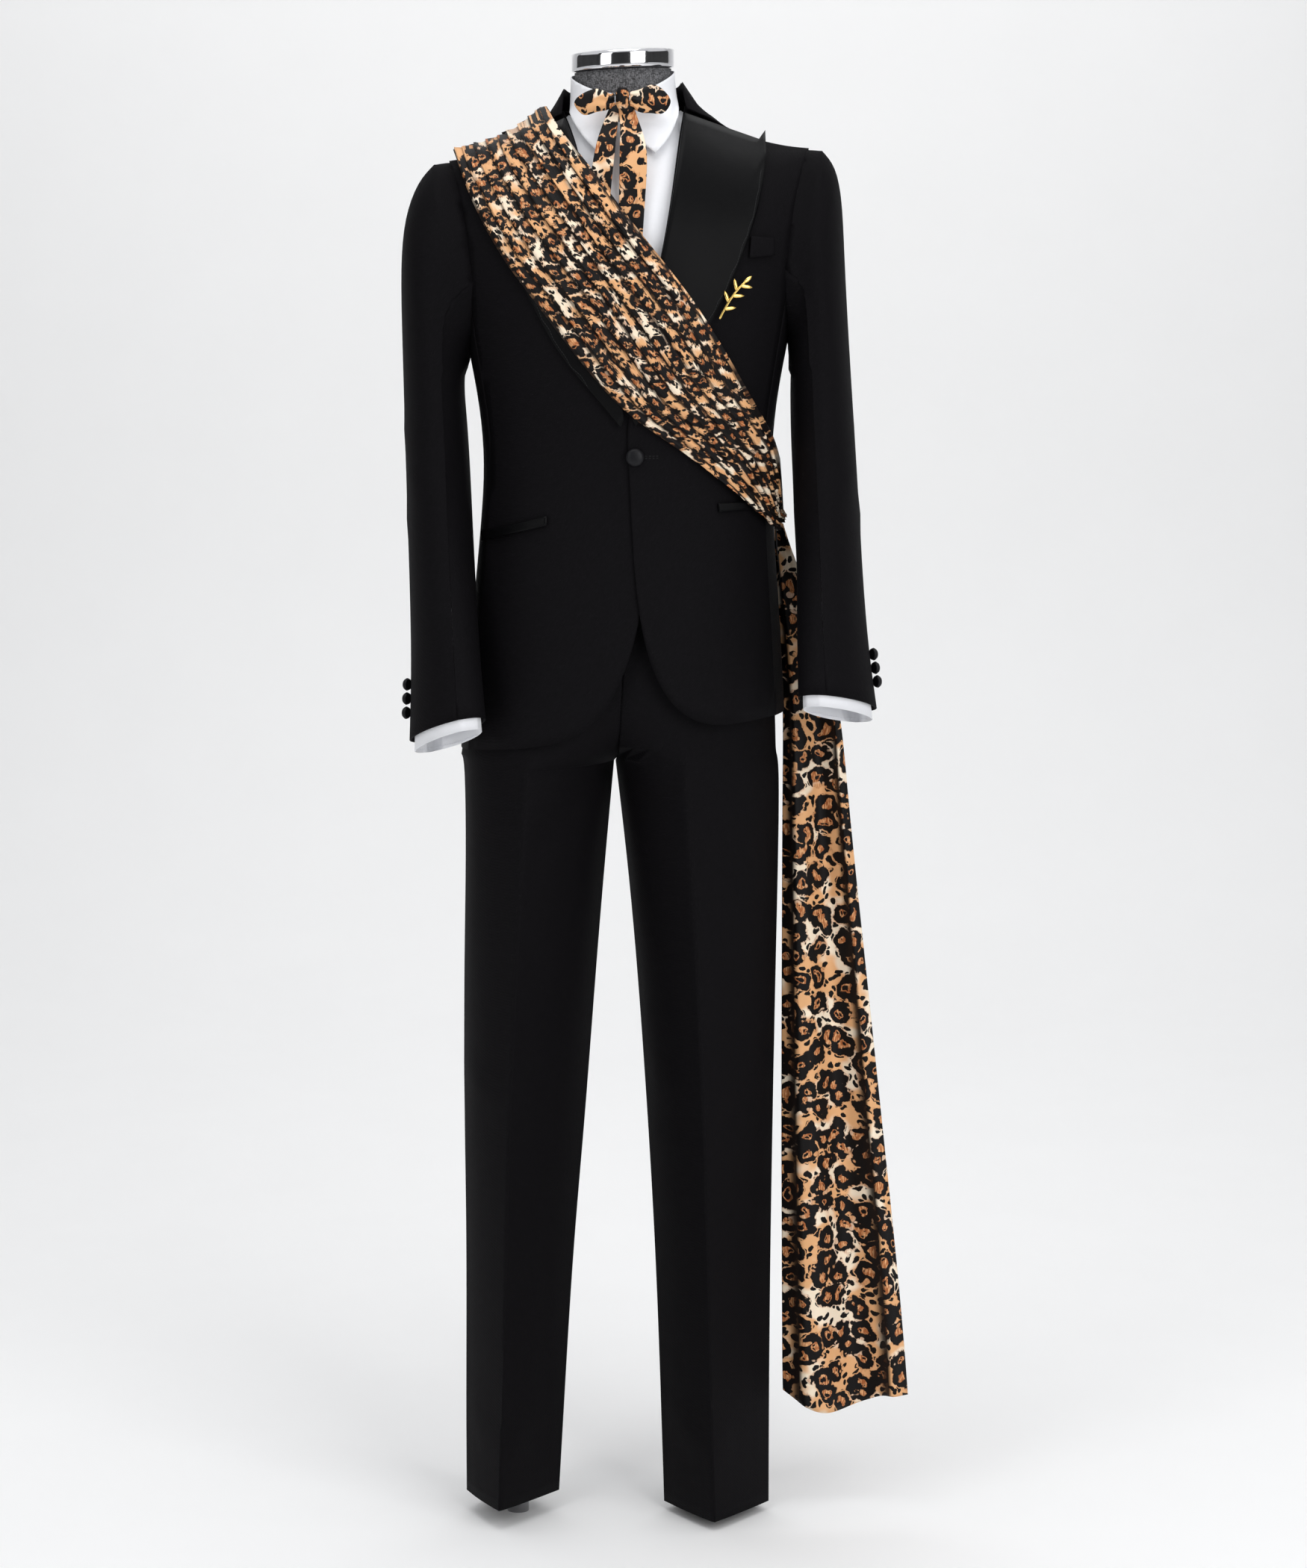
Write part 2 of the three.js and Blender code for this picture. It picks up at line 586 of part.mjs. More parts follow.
// The shirt's front from the centre to the side seam, with a round neck.
function shirtFront() {
  const shoulderSteps = 5;
  const neckSteps = 4;
  const columns = shoulderSteps + neckSteps;
  const right = sideLine(180, SHIRT_HEM, SHIRT_INSET, shirtBelow, rowsAbove);
  const shoulder = shoulderLine(shoulderSteps, SHIRT_INSET, 1);
  const top = [];
  for (let i = 0; i < neckSteps; i += 1) {
    const t = (i / neckSteps) * (Math.PI / 2);
    const x = NECK.shirtHalfWidth * Math.sin(t);
    const z = lerp(shoulder[0].z, NECK.frontZ - SHIRT_INSET, Math.cos(t));
    top.push({ a: angleAt(x, z, SHIRT_INSET), z });
  }
  top.push(...shoulder);
  const bottom = [];
  for (let c = 0; c <= columns; c += 1) bottom.push({ a: lerp(0, right[0].a, c / columns), z: SHIRT_HEM });
  const centre = right.map((_, r) => ({ a: 0, z: lerp(SHIRT_HEM, top[0].z, r / (shirtBelow + rowsAbove)) }));
  return onSurface(fill(bottom, top, centre, right), SHIRT_INSET);
}

// The closed ring of armhole points of one side, from the shoulder tip round by the front.
function armholeRing(front, side, back) {
  const ring = [];
  const start = side ? rowsBelow : shirtBelow;
  const rows = front.length - 1;
  for (let r = rows; r > start; r -= 1) ring.push(front[r][front[0].length - 1].clone());
  if (side) ring.push(...side[side.length - 1].map((p) => p.clone()));
  else ring.push(front[start][front[0].length - 1].clone());
  for (let r = start + 1; r < rows; r += 1) ring.push(back[r][0].clone());
  return ring;
}

// A sleeve as rings from the armhole down; each ring runs from the shoulder tip round by the front.
function sleeveRings(ring, inset, side, extra = 0) {
  const centre = ring.reduce((sum, p) => sum.add(p), point(0, 0, 0)).divideScalar(ring.length);
  const turns = ring.map((p) => {
    const up = (p.z - centre.z) / ((ARMHOLE.tipZ - ARMHOLE.pitZ) / 2);
    const turn = Math.atan2(-(p.y - centre.y) / ARMHOLE.depth, up);
    return turn < 0 ? turn + 2 * Math.PI : turn;
  });
  turns[0] = 0;
  const place = (p) => hang(point(p.x * side, p.y, p.z));
  const rings = [];
  SLEEVE.forEach((row, k) => {
    const last = k === SLEEVE.length - 1;
    const down = last ? extra : 0;
    rings.push(
      turns.map((turn) => {
        const share = (1 + Math.cos(turn)) / 2;
        const x = lerp(row.inX + inset, row.outX - inset, share);
        const closer = inset * (1 - 2 * share) * (share < 0.5 ? PIT_RISE[k] || 0 : Math.min(1, 3 - k));
        const z = lerp(row.inZ, row.outZ, share) - down + (k < 3 ? closer : 0);
        const forward = Math.sin(turn) * (row.depth - inset * (k < 2 ? 1.5 : 1));
        const twist = row.turn * (1 - 2 * share);
        const p = point(x, row.y - forward - twist - down * 0.3, z + row.tilt * forward);
        const still = place(p);
        const swung = hang(point(p.x * side, p.y, p.z), SLEEVE_POSTURE);
        return still.lerp(swung, row.hang);
      }),
    );
  });
  const first = ring.map((p, i) => {
    const q = place(p);
    const way = rings[0][i].clone().sub(q).normalize();
    const outward = point(0, 0, 0);
    const a = angleAt(p.x, p.z, inset, p.y < 0 ? 1 : -1);
    if (Math.abs(Math.cos(turns[i])) > 0.3) outward.copy(bodyNormal(a, p.z, inset));
    outward.x *= side;
    return q.addScaledVector(way, SEAM_GAP).addScaledVector(outward, SEAM_GAP * 1.2);
  });
  return [first, ...rings];
}

// Rings run from the top down and round by the front; a wall's grid runs from the bottom up and round to the left.
function ringsToGrid(rings, side) {
  const upward = rings.slice().reverse();
  if (side > 0) return upward.map((ring) => [ring[0], ...ring.slice(1).reverse()]);
  return upward;
}

const hung = (grid) => grid.map((line) => line.map((p) => hang(p)));

// Jacket body
const overlapLift = (amount) => (p) => {
  const fade = clamp(1 - (Math.abs(p.x) - 28) / 60, 0, 1);
  return amount * fade * clamp((BREAK_Z + 90 - p.z) / 60, 0, 1);
};
const leftFront = jacketFront("left", overlapLift(FRONT_LIFT));
const rightFront = jacketFront("right", overlapLift(-FRONT_LIFT));
const sideBody = jacketSide();
const jacketBack = backPanel(360 - ARMHOLE.seam, HEM_Z, 0, rowsBelow, rowsAbove, NECK.backZ, 8);
const jacketWall = { wall: WOOL, material: "wool" };
sew([
  { name: "jacket_front_left", grid: hung(leftFront), seams: ["end", "top"], ...jacketWall },
  { name: "jacket_front_right", grid: hung(mirrored(rightFront)), seams: ["start", "top"], ...jacketWall },
  { name: "jacket_side_left", grid: hung(sideBody), seams: ["start", "end"], ...jacketWall },
  { name: "jacket_side_right", grid: hung(mirrored(sideBody)), seams: ["start", "end"], ...jacketWall },
  { name: "jacket_back_left", grid: hung(jacketBack), seams: ["start", "end", "top"], ...jacketWall },
  { name: "jacket_back_right", grid: hung(mirrored(jacketBack)), seams: ["start", "end", "top"], ...jacketWall },
]);

// Jacket sleeves: an upper piece over the arm and an under piece inside it
const SIDES = [
  { word: "left", side: 1 },
  { word: "right", side: -1 },
];
const jacketRing = armholeRing(leftFront, sideBody, jacketBack);
for (const { word, side } of SIDES) {
  const grid = ringsToGrid(sleeveRings(jacketRing, 0, side), side);
  const count = jacketRing.length;
  const order = side > 0 ? (i) => (count - i) % count : (i) => i;
  const frontSeam = order(rowsAbove - 1);
  const backSeam = order(count - rowsAbove + 1);
  const cut = (from, to) => {
    const columns = [];
    for (let c = from; ; c = (c + 1) % count) {
      columns.push(c);
      if (c === to) break;
    }
    return grid.map((line) => columns.map((c) => line[c]));
  };
  const [first, second] = side > 0 ? [frontSeam, backSeam] : [backSeam, frontSeam];
  sew([
    { name: `sleeve_upper_${word}`, grid: cut(first, second), seams: ["start", "end"], ...jacketWall },
    { name: `sleeve_under_${word}`, grid: cut(second, first), seams: ["start", "end"], ...jacketWall },
  ]);
}

// Shirt body, sleeves and cuffs
const shirtFrontGrid = shirtFront();
const shirtBackGrid = backPanel(180 + JUST_BEHIND, SHIRT_HEM, SHIRT_INSET, shirtBelow, rowsAbove, NECK.backZ - 9, 5);
const shirtBackRight = mirrored(shirtBackGrid);
const wholeBack = shirtBackGrid.map((line, r) => [...line, ...shirtBackRight[r].slice(1)]);
const shirtWall = { wall: COTTON, material: "cotton" };
sew([
  { name: "shirt_front_left", grid: hung(shirtFrontGrid), seams: ["start", "end", "top"], ...shirtWall },
  { name: "shirt_front_right", grid: hung(mirrored(shirtFrontGrid)), seams: ["start", "end", "top"], ...shirtWall },
  { name: "shirt_back", grid: hung(wholeBack), seams: ["start", "end", "top"], ...shirtWall },
]);
const shirtRing = armholeRing(shirtFrontGrid, null, shirtBackGrid);
for (const { word, side } of SIDES) {
  const rings = sleeveRings(shirtRing, 7, side, 0);
  const shown = sleeveRings(shirtRing, 4.7, side, CUFF_SHOW);
  const high = 8;
  const sleeve = rings.slice(0, high + 1);
  const cuffTop = shown[high].map((p, i) => p.clone().lerp(rings[high + 1][i], 0.02));
  const cuff = [cuffTop, shown[high + 1], shown[high + 2]];
  sew([{ name: `shirt_sleeve_${word}`, grid: ringsToGrid(sleeve, side), closed: true, ...shirtWall }]);
  sew([{ name: `shirt_cuff_${word}`, grid: ringsToGrid(cuff, side), closed: true, ...shirtWall }]);
}

// What lies on the fronts

const asPair = ({ x, z }) => ({ a: x, z });

// A peak lapel between the roll line and its outer edge, with the notch and the peak at the top.
function lapel(distance) {
  const columns = 5;
  const rows = 11;
  const left = [];
  const right = [];
  for (let r = 0; r <= rows; r += 1) {
    const t = r / rows;
    const z = lerp(BREAK_Z + 3, GORGE.neckZ, t);
    left.push({ a: read(ROLL, "x", z) + 0.6, z });
    const outerZ = lerp(LAPEL_EDGE[0].z, LAPEL_EDGE[LAPEL_EDGE.length - 1].z, t);
    right.push({ a: read(LAPEL_EDGE, "x", outerZ), z: outerZ });
  }
  const tip = right[rows];
  const top = evenly(
    [{ x: GORGE.neckX + 0.6, z: GORGE.neckZ }, { x: GORGE.notchX, z: GORGE.notchZ }],
    columns - 1,
  ).map(asPair);
  top[0] = left[rows];
  top.push(tip);
  const bottom = evenly([{ x: left[0].a, z: left[0].z }, { x: right[0].a, z: right[0].z }], columns).map(asPair);
  const lift = overlapLift(FRONT_LIFT);
  return fill(bottom, top, left, right).map((row) =>
    row.map(({ a, z }) => offBody(a, z, distance + lift({ x: a, z }))),
  );
}

const LAPEL_OFF = LAY + SATIN;
const lapelGrid = lapel(LAPEL_OFF);
sew([{ name: "lapel_left", grid: hung(lapelGrid), wall: SATIN, material: "satin" }]);
sew([{ name: "lapel_right", grid: hung(mirrored(lapelGrid)), wall: SATIN, material: "satin" }]);

// The collar of the jacket: from notch to notch round the back of the neck
const COLLAR_HUG = 63.5; // half the distance between its sides at the neck
function jacketCollar() {
  const frontSteps = 5;
  const backSteps = 6;
  const rows = 3;
  const half = [];
  for (let r = 0; r <= rows; r += 1) {
    const t = r / rows;
    const line = [];
    for (let i = 0; i <= frontSteps; i += 1) {
      const s = i / frontSteps;
      const lowX = lerp(GORGE.notchX - 4, 112, s);
      const lowZ = lerp(GORGE.notchZ + 4, read(RIDGE, "z", 112, "x"), s);
      const highX = lerp(GORGE.neckX + 4, COLLAR_HUG, s);
      const highZ = lerp(GORGE.neckZ + 5, read(RIDGE, "z", COLLAR_HUG, "x"), s);
      const x = lerp(lowX, highX, t);
      const z = Math.min(lerp(lowZ, highZ, t), read(RIDGE, "z", x, "x"));
      const p = offBody(x, z, LAPEL_OFF);
      p.z += COLLAR_STAND * t ** 4 * s;
      line.push(p);
    }
    for (let i = 1; i <= backSteps; i += 1) {
      const s = i / backSteps;
      const turn = (s * Math.PI) / 2;
      const x = lerp(112, COLLAR_HUG, t) * Math.cos(turn);
      const lowZ = lerp(read(RIDGE, "z", 112, "x"), NECK.backZ - 42, Math.sin(turn));
      const highZ = lerp(read(RIDGE, "z", COLLAR_HUG, "x"), NECK.backZ - 4, Math.sin(turn));
      const z = Math.min(lerp(lowZ, highZ, t), read(RIDGE, "z", x, "x"));
      const p = offBody(x, z, LAPEL_OFF, -1);
      p.z += COLLAR_STAND * t ** 4;
      line.push(p);
    }
    half.push(line);
  }
  const other = mirrored(half);
  return half.map((line, r) => [...line, ...other[r].slice(1)]);
}
sew([{ name: "jacket_collar", grid: hung(jacketCollar()), ...jacketWall }]);

// A flat strip between two lines seen from the front, laid on the front at a distance.
function strip(corners, columns, rows, distance) {
  const [a, b, c, d] = corners.map(([x, z]) => upright(x, z));
  const line = (p, q, steps) => evenly([p, q], steps).map(asPair);
  const grid = fill(line(a, b, columns), line(d, c, columns), line(a, d, rows), line(b, c, rows));
  return grid.map((row) => row.map((place) => hang(offBody(place.a, place.z, distance))));
}
const jets = [
  { name: "pocket_jet_right", corners: [[-151.6, 1128.5], [-80, 1148.5], [-80, 1158.5], [-152.5, 1139]] },
  { name: "pocket_jet_left", corners: [[105.5, 1162.5], [157, 1164], [156, 1174], [104, 1172]] },
];
for (const { name, corners } of jets) {
  sew([{ name, grid: strip(corners, 5, 1, JET_LAY + SATIN), wall: SATIN, material: "satin" }]);
}
const welt = [[137.5, 1436], [165, 1439], [165, 1457], [139.5, 1459]];
sew([{ name: "chest_welt", grid: strip(welt, 2, 2, POCKET_LAY + WOOL), wall: WOOL, material: "wool" }]);

// A domed covered button whose flat back faces against its axis.
function button(name, at, axis, radius = 9.5, height = 5) {
  const profile = [
    new THREE.Vector2(0, 0),
    new THREE.Vector2(radius * 0.85, 0),
    new THREE.Vector2(radius, height * 0.4),
    new THREE.Vector2(radius * 0.8, height * 0.8),
    new THREE.Vector2(0, height),
  ];
  const lathe = new THREE.LatheGeometry(profile, 10);
  const turn = new THREE.Quaternion().setFromUnitVectors(point(0, 1, 0), axis.clone().normalize());
  lathe.applyQuaternion(turn);
  lathe.translate(at.x, at.y, at.z);
  addMesh(name, solidGeometry(lathe), "satin");
}

// The same geometry with its shared points merged.
function solidGeometry(geometry) {
  const copy = geometry.clone();
  copy.deleteAttribute("normal");
  copy.deleteAttribute("uv");
  return mergeVertices(copy, 1e-3);
}
const buttonPlace = upright(14.9, 1222.6);
const buttonAt = offBody(buttonPlace.x, buttonPlace.z, 1.6 + 0.5);
button("front_button", hang(buttonAt), point(0.05, -1, 0), 10.5, 6);

// Three buttons on the outer edge of each cuff, a little behind its middle
for (const { word, side } of SIDES) {
  const rings = sleeveRings(jacketRing, 0, side);
  for (let i = 0; i < 3; i += 1) {
    const turn = rad(340);
    const steps = rings[0].length;
    const spot = (ring) => {
      let best = 0;
      let gap = 9;
      ring.forEach((p, k) => {
        const centre = ring[0].clone().lerp(ring[Math.round(steps / 2)], 0.5);
        const a = Math.atan2(-(p.y - centre.y) / 60, ((p.x - centre.x) * side) / 40);
        const d = Math.abs(Math.atan2(Math.sin(a - turn), Math.cos(a - turn)));
        if (d < gap) {
          gap = d;
          best = k;
        }
      });
      return { p: ring[best], centre: ring[0].clone().lerp(ring[Math.round(steps / 2)], 0.5) };
    };
    const low = spot(rings[rings.length - 1]);
    const high = spot(rings[rings.length - 2]);
    const t = 0.45 + i * 0.23;
    const p = low.p.clone().lerp(high.p, t);
    const axis = p.clone().sub(low.centre.clone().lerp(high.centre, t));
    axis.z = 0;
    axis.normalize();
    const clear = side > 0 ? 2.85 : 2.65; // the left sleeve's edge is turned further
    button(`sleeve_button_${word}_${i + 1}`, p.addScaledVector(axis, clear), axis, 7.5, 6);
  }
}

// The sash

const SASH_OFF = LAPEL_OFF + 2.6 + CREPE;
const PLEATS = { front: 9, back: 6 };
const PLEAT_RISE = 3.2;

// A run of the sash from the hip up to the shoulder ridge, on the front or on the back.
function sashRun(side, rise) {
  const rows = side > 0 ? 14 : 11;
  const columns = (side > 0 ? PLEATS.front : PLEATS.back) * 3;
  const grid = [];
  for (let r = rows; r >= 0; r -= 1) {
    const row = rowAt(SASH, (r / rows) * (SASH.length - 1));
    const line = [];
    for (let c = 0; c <= columns; c += 1) {
      const s = c / columns;
      const place = upright(lerp(row.lowX + 4, row.upX + 4, s), lerp(row.lowZ, row.upZ, s));
      const top = read(RIDGE, "z", Math.abs(place.x), "x");
      if (r === 0) place.z = top;
      const fold = [0, 1, 0.35][c % 3];
      const bend = 0.75 + 0.25 * Math.sin(r * 0.9 + c * 1.3);
      const nearRidge = clamp((place.z - 1520) / 30, 0, 1);
      const nearCollar = clamp((116 - Math.abs(place.x)) / 25, 0, 1);
      const off = SASH_OFF + rise * fold * bend + nearRidge * lerp(4.2, 7.2, nearCollar);
      const widest = read(BODY, "half", place.z) * 0.9995;
      const p = offBody(clamp(place.x, -widest, widest), Math.min(place.z, top), off, side);
      line.push(hang(p));
    }
    grid.push(line);
  }
  return side > 0 ? grid : grid.map((line) => line.reverse());
}
sew([
  { name: "sash_front", grid: sashRun(1, PLEAT_RISE), wall: CREPE, material: "leopard", seams: ["top"] },
  { name: "sash_back", grid: sashRun(-1, PLEAT_RISE), wall: CREPE, material: "leopard", seams: ["top"] },
]);

// The end of the sash that hangs from the hip in soft upright folds
function tailGrid() {
  const rows = 12;
  const columns = 14;
  const grid = [];
  for (let r = rows; r >= 0; r -= 1) {
    const row = rowAt(TAIL, (r / rows) * (TAIL.length - 1));
    const line = [];
    for (let c = 0; c <= columns; c += 1) {
      const s = c / columns;
      const wave = Math.cos(s * Math.PI * 3.2 + 0.4);
      const hem = r === rows ? 22 * (1 - Math.sin(Math.min(s * 1.25, 1) * Math.PI)) : 0;
      line.push(point(lerp(row.left, row.right, s), row.y + row.depth * wave, row.z + hem));
    }
    grid.push(line);
  }
  return grid;
}
sew([{ name: "sash_tail", grid: tailGrid(), wall: CREPE, material: "leopard" }]);

// Shirt collar

// The neck's ring: radius and height at each turn round it, 0 at the front and 90 at the wearer's left.
function collarPoint(turn, radius, z) {
  return hang(point(radius * Math.sin(turn), -radius * Math.cos(turn) + 2, z));
}
function collarStand() {
  const steps = 22;
  const grid = [];
  for (const share of [0, 0.5, 1]) {
    const ring = [];
    for (let i = 0; i < steps; i += 1) {
      const turn = rad(3) + (i / steps) * 2 * Math.PI;
      const front = (1 + Math.cos(turn)) / 2;
      const top = 1632 - 22 * front ** 3;
      const foot = 1610 - 8 * front;
      ring.push(collarPoint(turn, STAND_RADIUS, lerp(foot, top, share)));
    }
    grid.push(ring);
  }
  return grid;
}
const STAND_RADIUS = NECK_RADIUS + COTTON + 0.4;
sew([{ name: "shirt_collar_stand", grid: collarStand(), closed: true, ...shirtWall }]);

// The turned-down collar: rows from its outer edge up to the fold at the top
function shirtCollar() {
  const steps = 26;
  const rows = 4;
  const start = rad(9);
  const grid = [];
  for (let r = 0; r <= rows; r += 1) {
    const t = r / rows;
    const line = [];
    for (let i = 0; i <= steps; i += 1) {
      const turn = start + (i / steps) * (2 * Math.PI - 2 * start);
      const front = (1 + Math.cos(turn)) / 2;
      const top = 1640 - 27 * front ** 3;
      const leaf = Math.max(0, 1 - Math.abs(Math.min(turn, 2 * Math.PI - turn) - rad(24)) / rad(50));
      const low = 1606 - 22 * front ** 2 - 40 * leaf ** 1.5;
      const z = lerp(low, top, t);
      const flare = (1 - t) ** 1.4 * lerp(2, 22, clamp(front * 2 - 1, 0, 1) ** 1.5);
      const radius = STAND_RADIUS + COTTON + 1 + flare;
      const x = radius * Math.sin(turn);
      const y = 2 - radius * Math.cos(turn);
      const shirt = offBody(x, z, 3.5 - SHIRT_INSET).y;
      line.push(hang(point(x, front > 0.55 ? Math.min(y, shirt) : y, z)));
    }
    grid.push(line);
  }
  return grid;
}
sew([{ name: "shirt_collar", grid: shirtCollar(), ...shirtWall }]);

// The scarf bow

// A closed lump from rings along a line: each ring has a centre, half width, half height and a turn.
function lump(name, rings, steps, material) {
  const positions = [];
  const index = [];
  for (const ring of rings) {
    for (let i = 0; i < steps; i += 1) {
      const a = (i / steps) * 2 * Math.PI;
      const p = ring.at.clone();
      p.addScaledVector(ring.side, Math.cos(a) * ring.wide).addScaledVector(ring.up, Math.sin(a) * ring.high);
      positions.push(p.x, p.y, p.z);
    }
  }
  for (let k = 0; k < rings.length - 1; k += 1) {
    for (let i = 0; i < steps; i += 1) {
      const j = (i + 1) % steps;
      const a = k * steps;
      const b = a + steps;
      index.push(a + i, a + j, b + j, a + i, b + j, b + i);
    }
  }
  const first = positions.length / 3;
  const a = rings[0].at;
  const b = rings[rings.length - 1].at;
  positions.push(a.x, a.y, a.z, b.x, b.y, b.z);
  const end = (rings.length - 1) * steps;
  for (let i = 0; i < steps; i += 1) {
    const j = (i + 1) % steps;
    index.push(first, j, i, first + 1, end + i, end + j);
  }
  addMesh(name, indexed(positions, index), material);
}
const BOW = { x: 1.5, y: -81.7, z: 1607, reach: 52, thick: 6, knot: 8 };
const LOOP = [
  { out: 0.16, high: 6.5, thick: 4.5 },
  { out: 0.3, high: 9.5, thick: 6 },
  { out: 0.5, high: 12.5, thick: 7 },
  { out: 0.72, high: 13.5, thick: 6.5 },
  { out: 0.88, high: 10.5, thick: 5 },
  { out: 0.97, high: 5, thick: 3.5 },
  { out: 1, high: 1.5, thick: 2 },
];
const FULLER = { left: 1.18, right: 1 }; // the wearer's left loop is the bigger one
for (const { word, side } of SIDES) {
  const rings = LOOP.map(({ out, high, thick }) => ({
    at: point(BOW.x + side * out * BOW.reach, BOW.y + out * 11, BOW.z - 1 - out * 3 + side * out * 1.5),
    side: point(0, side, 0),
    up: point(0, 0, 1),
    wide: thick,
    high: high * FULLER[word],
  }));
  lump(`bow_loop_${word}`, rings, 12, "leopard");
}
const KNOT = [
  { z: -11, wide: 5 },
  { z: -7, wide: 7.4 },
  { z: 0, wide: 7.8 },
  { z: 7, wide: 7.4 },
  { z: 11, wide: 5 },
];
lump(
  "bow_knot",
  KNOT.map(({ z, wide }) => ({
    at: point(BOW.x, BOW.y - 1, BOW.z + z),
    side: point(1, 0, 0),
    up: point(0, 1, 0),
    wide,
    high: wide,
  })),
  12,
  "leopard",
);

// The tails of the bow lie on the shirt front: middle line, half width and height at each row
const TAIL_LEFT = [
  { z: 1595, x: 5, half: 7 },
  { z: 1570, x: 11, half: 10 },
  { z: 1545, x: 13.5, half: 14.5 },
  { z: 1500, x: 12, half: 14 },
  { z: 1440, x: 9, half: 13 },
];
const TAIL_RIGHT = [
  { z: 1595, x: -4, half: 5 },
  { z: 1570, x: -11, half: 8 },
  { z: 1545, x: -17, half: 10.5 },
  { z: 1515, x: -22, half: 11.5 },
  { z: 1495, x: -24, half: 11.5 },
];
function bowTail(rows, off) {
  const steps = 8;
  const across = 4;
  const grid = [];
  for (let r = steps; r >= 0; r -= 1) {
    const row = rowAt(rows, (r / steps) * (rows.length - 1));
    const line = [];
    for (let c = 0; c <= across; c += 1) {
      const place = upright(row.x + lerp(-row.half, row.half, c / across), row.z);
      const lift = off + (1 - Math.cos(((c / across) * 2 - 1) * Math.PI)) * 0.6;
      const leafLift = 17 * clamp((row.z - 1500) / 60, 0, 1);
      line.push(hang(offBody(place.x, place.z, lift + leafLift - SHIRT_INSET)));
    }
    grid.push(line);
  }
  return grid;
}
sew([{ name: "bow_tail_left", grid: bowTail(TAIL_LEFT, 4.6), wall: CREPE, material: "leopard" }]);
sew([{ name: "bow_tail_right", grid: bowTail(TAIL_RIGHT, 2), wall: CREPE, material: "leopard" }]);

// Trousers

// A curved quarter of a leg's section between two corners, bowed out by a share of its length.
function bowed(from, to, share, round) {
  const way = to.clone().sub(from);
  const out = point(way.y, -way.x, 0);
  return from.clone().addScaledVector(way, share).addScaledVector(out, round * 4 * share * (1 - share));
}

// One front or back panel of a leg: columns run round to the left from one seam to the other.
function trouserPanel(table, side, face) {
  const quarter = 4;
  const grid = [];
  const legRows = table.map((row) => row.z);
  const cuts = [];
  for (let i = 0; i < 9; i += 1) cuts.push(lerp(legRows[0], legRows[legRows.length - 1], i / 8));
  for (const z of cuts) {
    const row = {};
    for (const column of ["outer", "crease", "inner", "front", "back", "round"]) row[column] = read(table, column, z);
    const outer = point(row.outer, 0, z);
    const crease = point(row.crease, face === "front" ? -row.front : row.back, z);
    const inner = point(row.inner, 0, z);
    grid.push(panelRow(outer, crease, inner, side, face, row.round, quarter));
  }
  for (const hip of HIPS) {
    const reach = hip[face === "front" ? "front" : "back"];
    const away = face === "front" ? -1 : 1;
    const outer = point(hip.middle + side * hip.half, 0, hip.z);
    const crease = point(side > 0 ? hip.left : hip.right, away * reach * hip.fill, hip.z);
    const inner = point(hip.middle, away * reach * hip.crotch, hip.z);
    const innerRound = lerp(0.2, 0.06, hip.crotch);
    grid.push(panelRow(outer, crease, inner, side, face, HIP_ROUND, quarter, innerRound));
  }
  return grid;
}
function panelRow(outer, crease, inner, side, face, round, quarter, innerRound = round) {
  const forward = (side > 0) === (face === "front");
  const corners = forward ? [inner, crease, outer] : [outer, crease, inner];
  const rounds = forward ? [innerRound, round] : [round, innerRound];
  const line = [];
  for (let q = 0; q < 2; q += 1) {
    for (let i = 0; i < quarter; i += 1) line.push(bowed(corners[q], corners[q + 1], i / quarter, rounds[q]));
  }
  line.push(corners[2]);
  return line;
}
const trouserPieces = [];
for (const { word, side } of SIDES) {
  const table = side > 0 ? LEFT_LEG : RIGHT_LEG;
  for (const face of ["front", "back"]) {
    const grid = trouserPanel(table, side, face);
    trouserPieces.push({ name: `trouser_${face}_${word}`, grid, seams: ["start", "end", "top"], ...jacketWall });
  }
}
sew(trouserPieces);

// The waistband: a closed ring on top of the panels
function waistband() {
  const hip = HIPS[HIPS.length - 1];
  const steps = 28;
  const grid = [];
  for (const z of [hip.z, TROUSER_TOP]) {
    const ring = [];
    for (let i = 0; i < steps; i += 1) {
      const a = (i / steps) * 2 * Math.PI;
      const s = Math.sin(a);
      const c = Math.cos(a);
      const reach = c > 0 ? hip.front : hip.back;
      const x = hip.middle + (hip.half - 1) * Math.sign(s) * Math.abs(s) ** (2 / 2.2);
      const y = -Math.sign(c) * (reach - 1) * Math.abs(c) ** (2 / 2.2);
      ring.push(point(x, y, z + SEAM_GAP));
    }
    grid.push(ring);
  }
  return grid;
}
sew([{ name: "waistband", grid: waistband(), closed: true, ...jacketWall }]);

// The dress form

// A closed solid from rings of points, the first ring at the bottom.
function ringSolid(name, rings, material) {
  const steps = rings[0].length;
  const positions = rings.flat().flatMap((p) => [p.x, p.y, p.z]);
  const index = [];
  for (let k = 0; k < rings.length - 1; k += 1) {
    for (let i = 0; i < steps; i += 1) {
      const j = (i + 1) % steps;
      const a = k * steps;
      const b = a + steps;
      index.push(a + i, a + j, b + j, a + i, b + j, b + i);
    }
  }
  for (const [k, flip] of [[0, true], [rings.length - 1, false]]) {
    const centre = rings[k].reduce((sum, p) => sum.add(p), point(0, 0, 0)).divideScalar(steps);
    const hub = positions.length / 3;
    positions.push(centre.x, centre.y, centre.z);
    for (let i = 0; i < steps; i += 1) {
      const j = (i + 1) % steps;
      index.push(hub, k * steps + (flip ? j : i), k * steps + (flip ? i : j));
    }
  }
  addMesh(name, indexed(positions, index), material);
}

// The form is slimmer below the waist, under the trousers, and at the shoulders.
const formInset = (z) => FORM_INSET + (z < 1140 ? 18 : 0) + (z > 1500 ? 7 : 0);

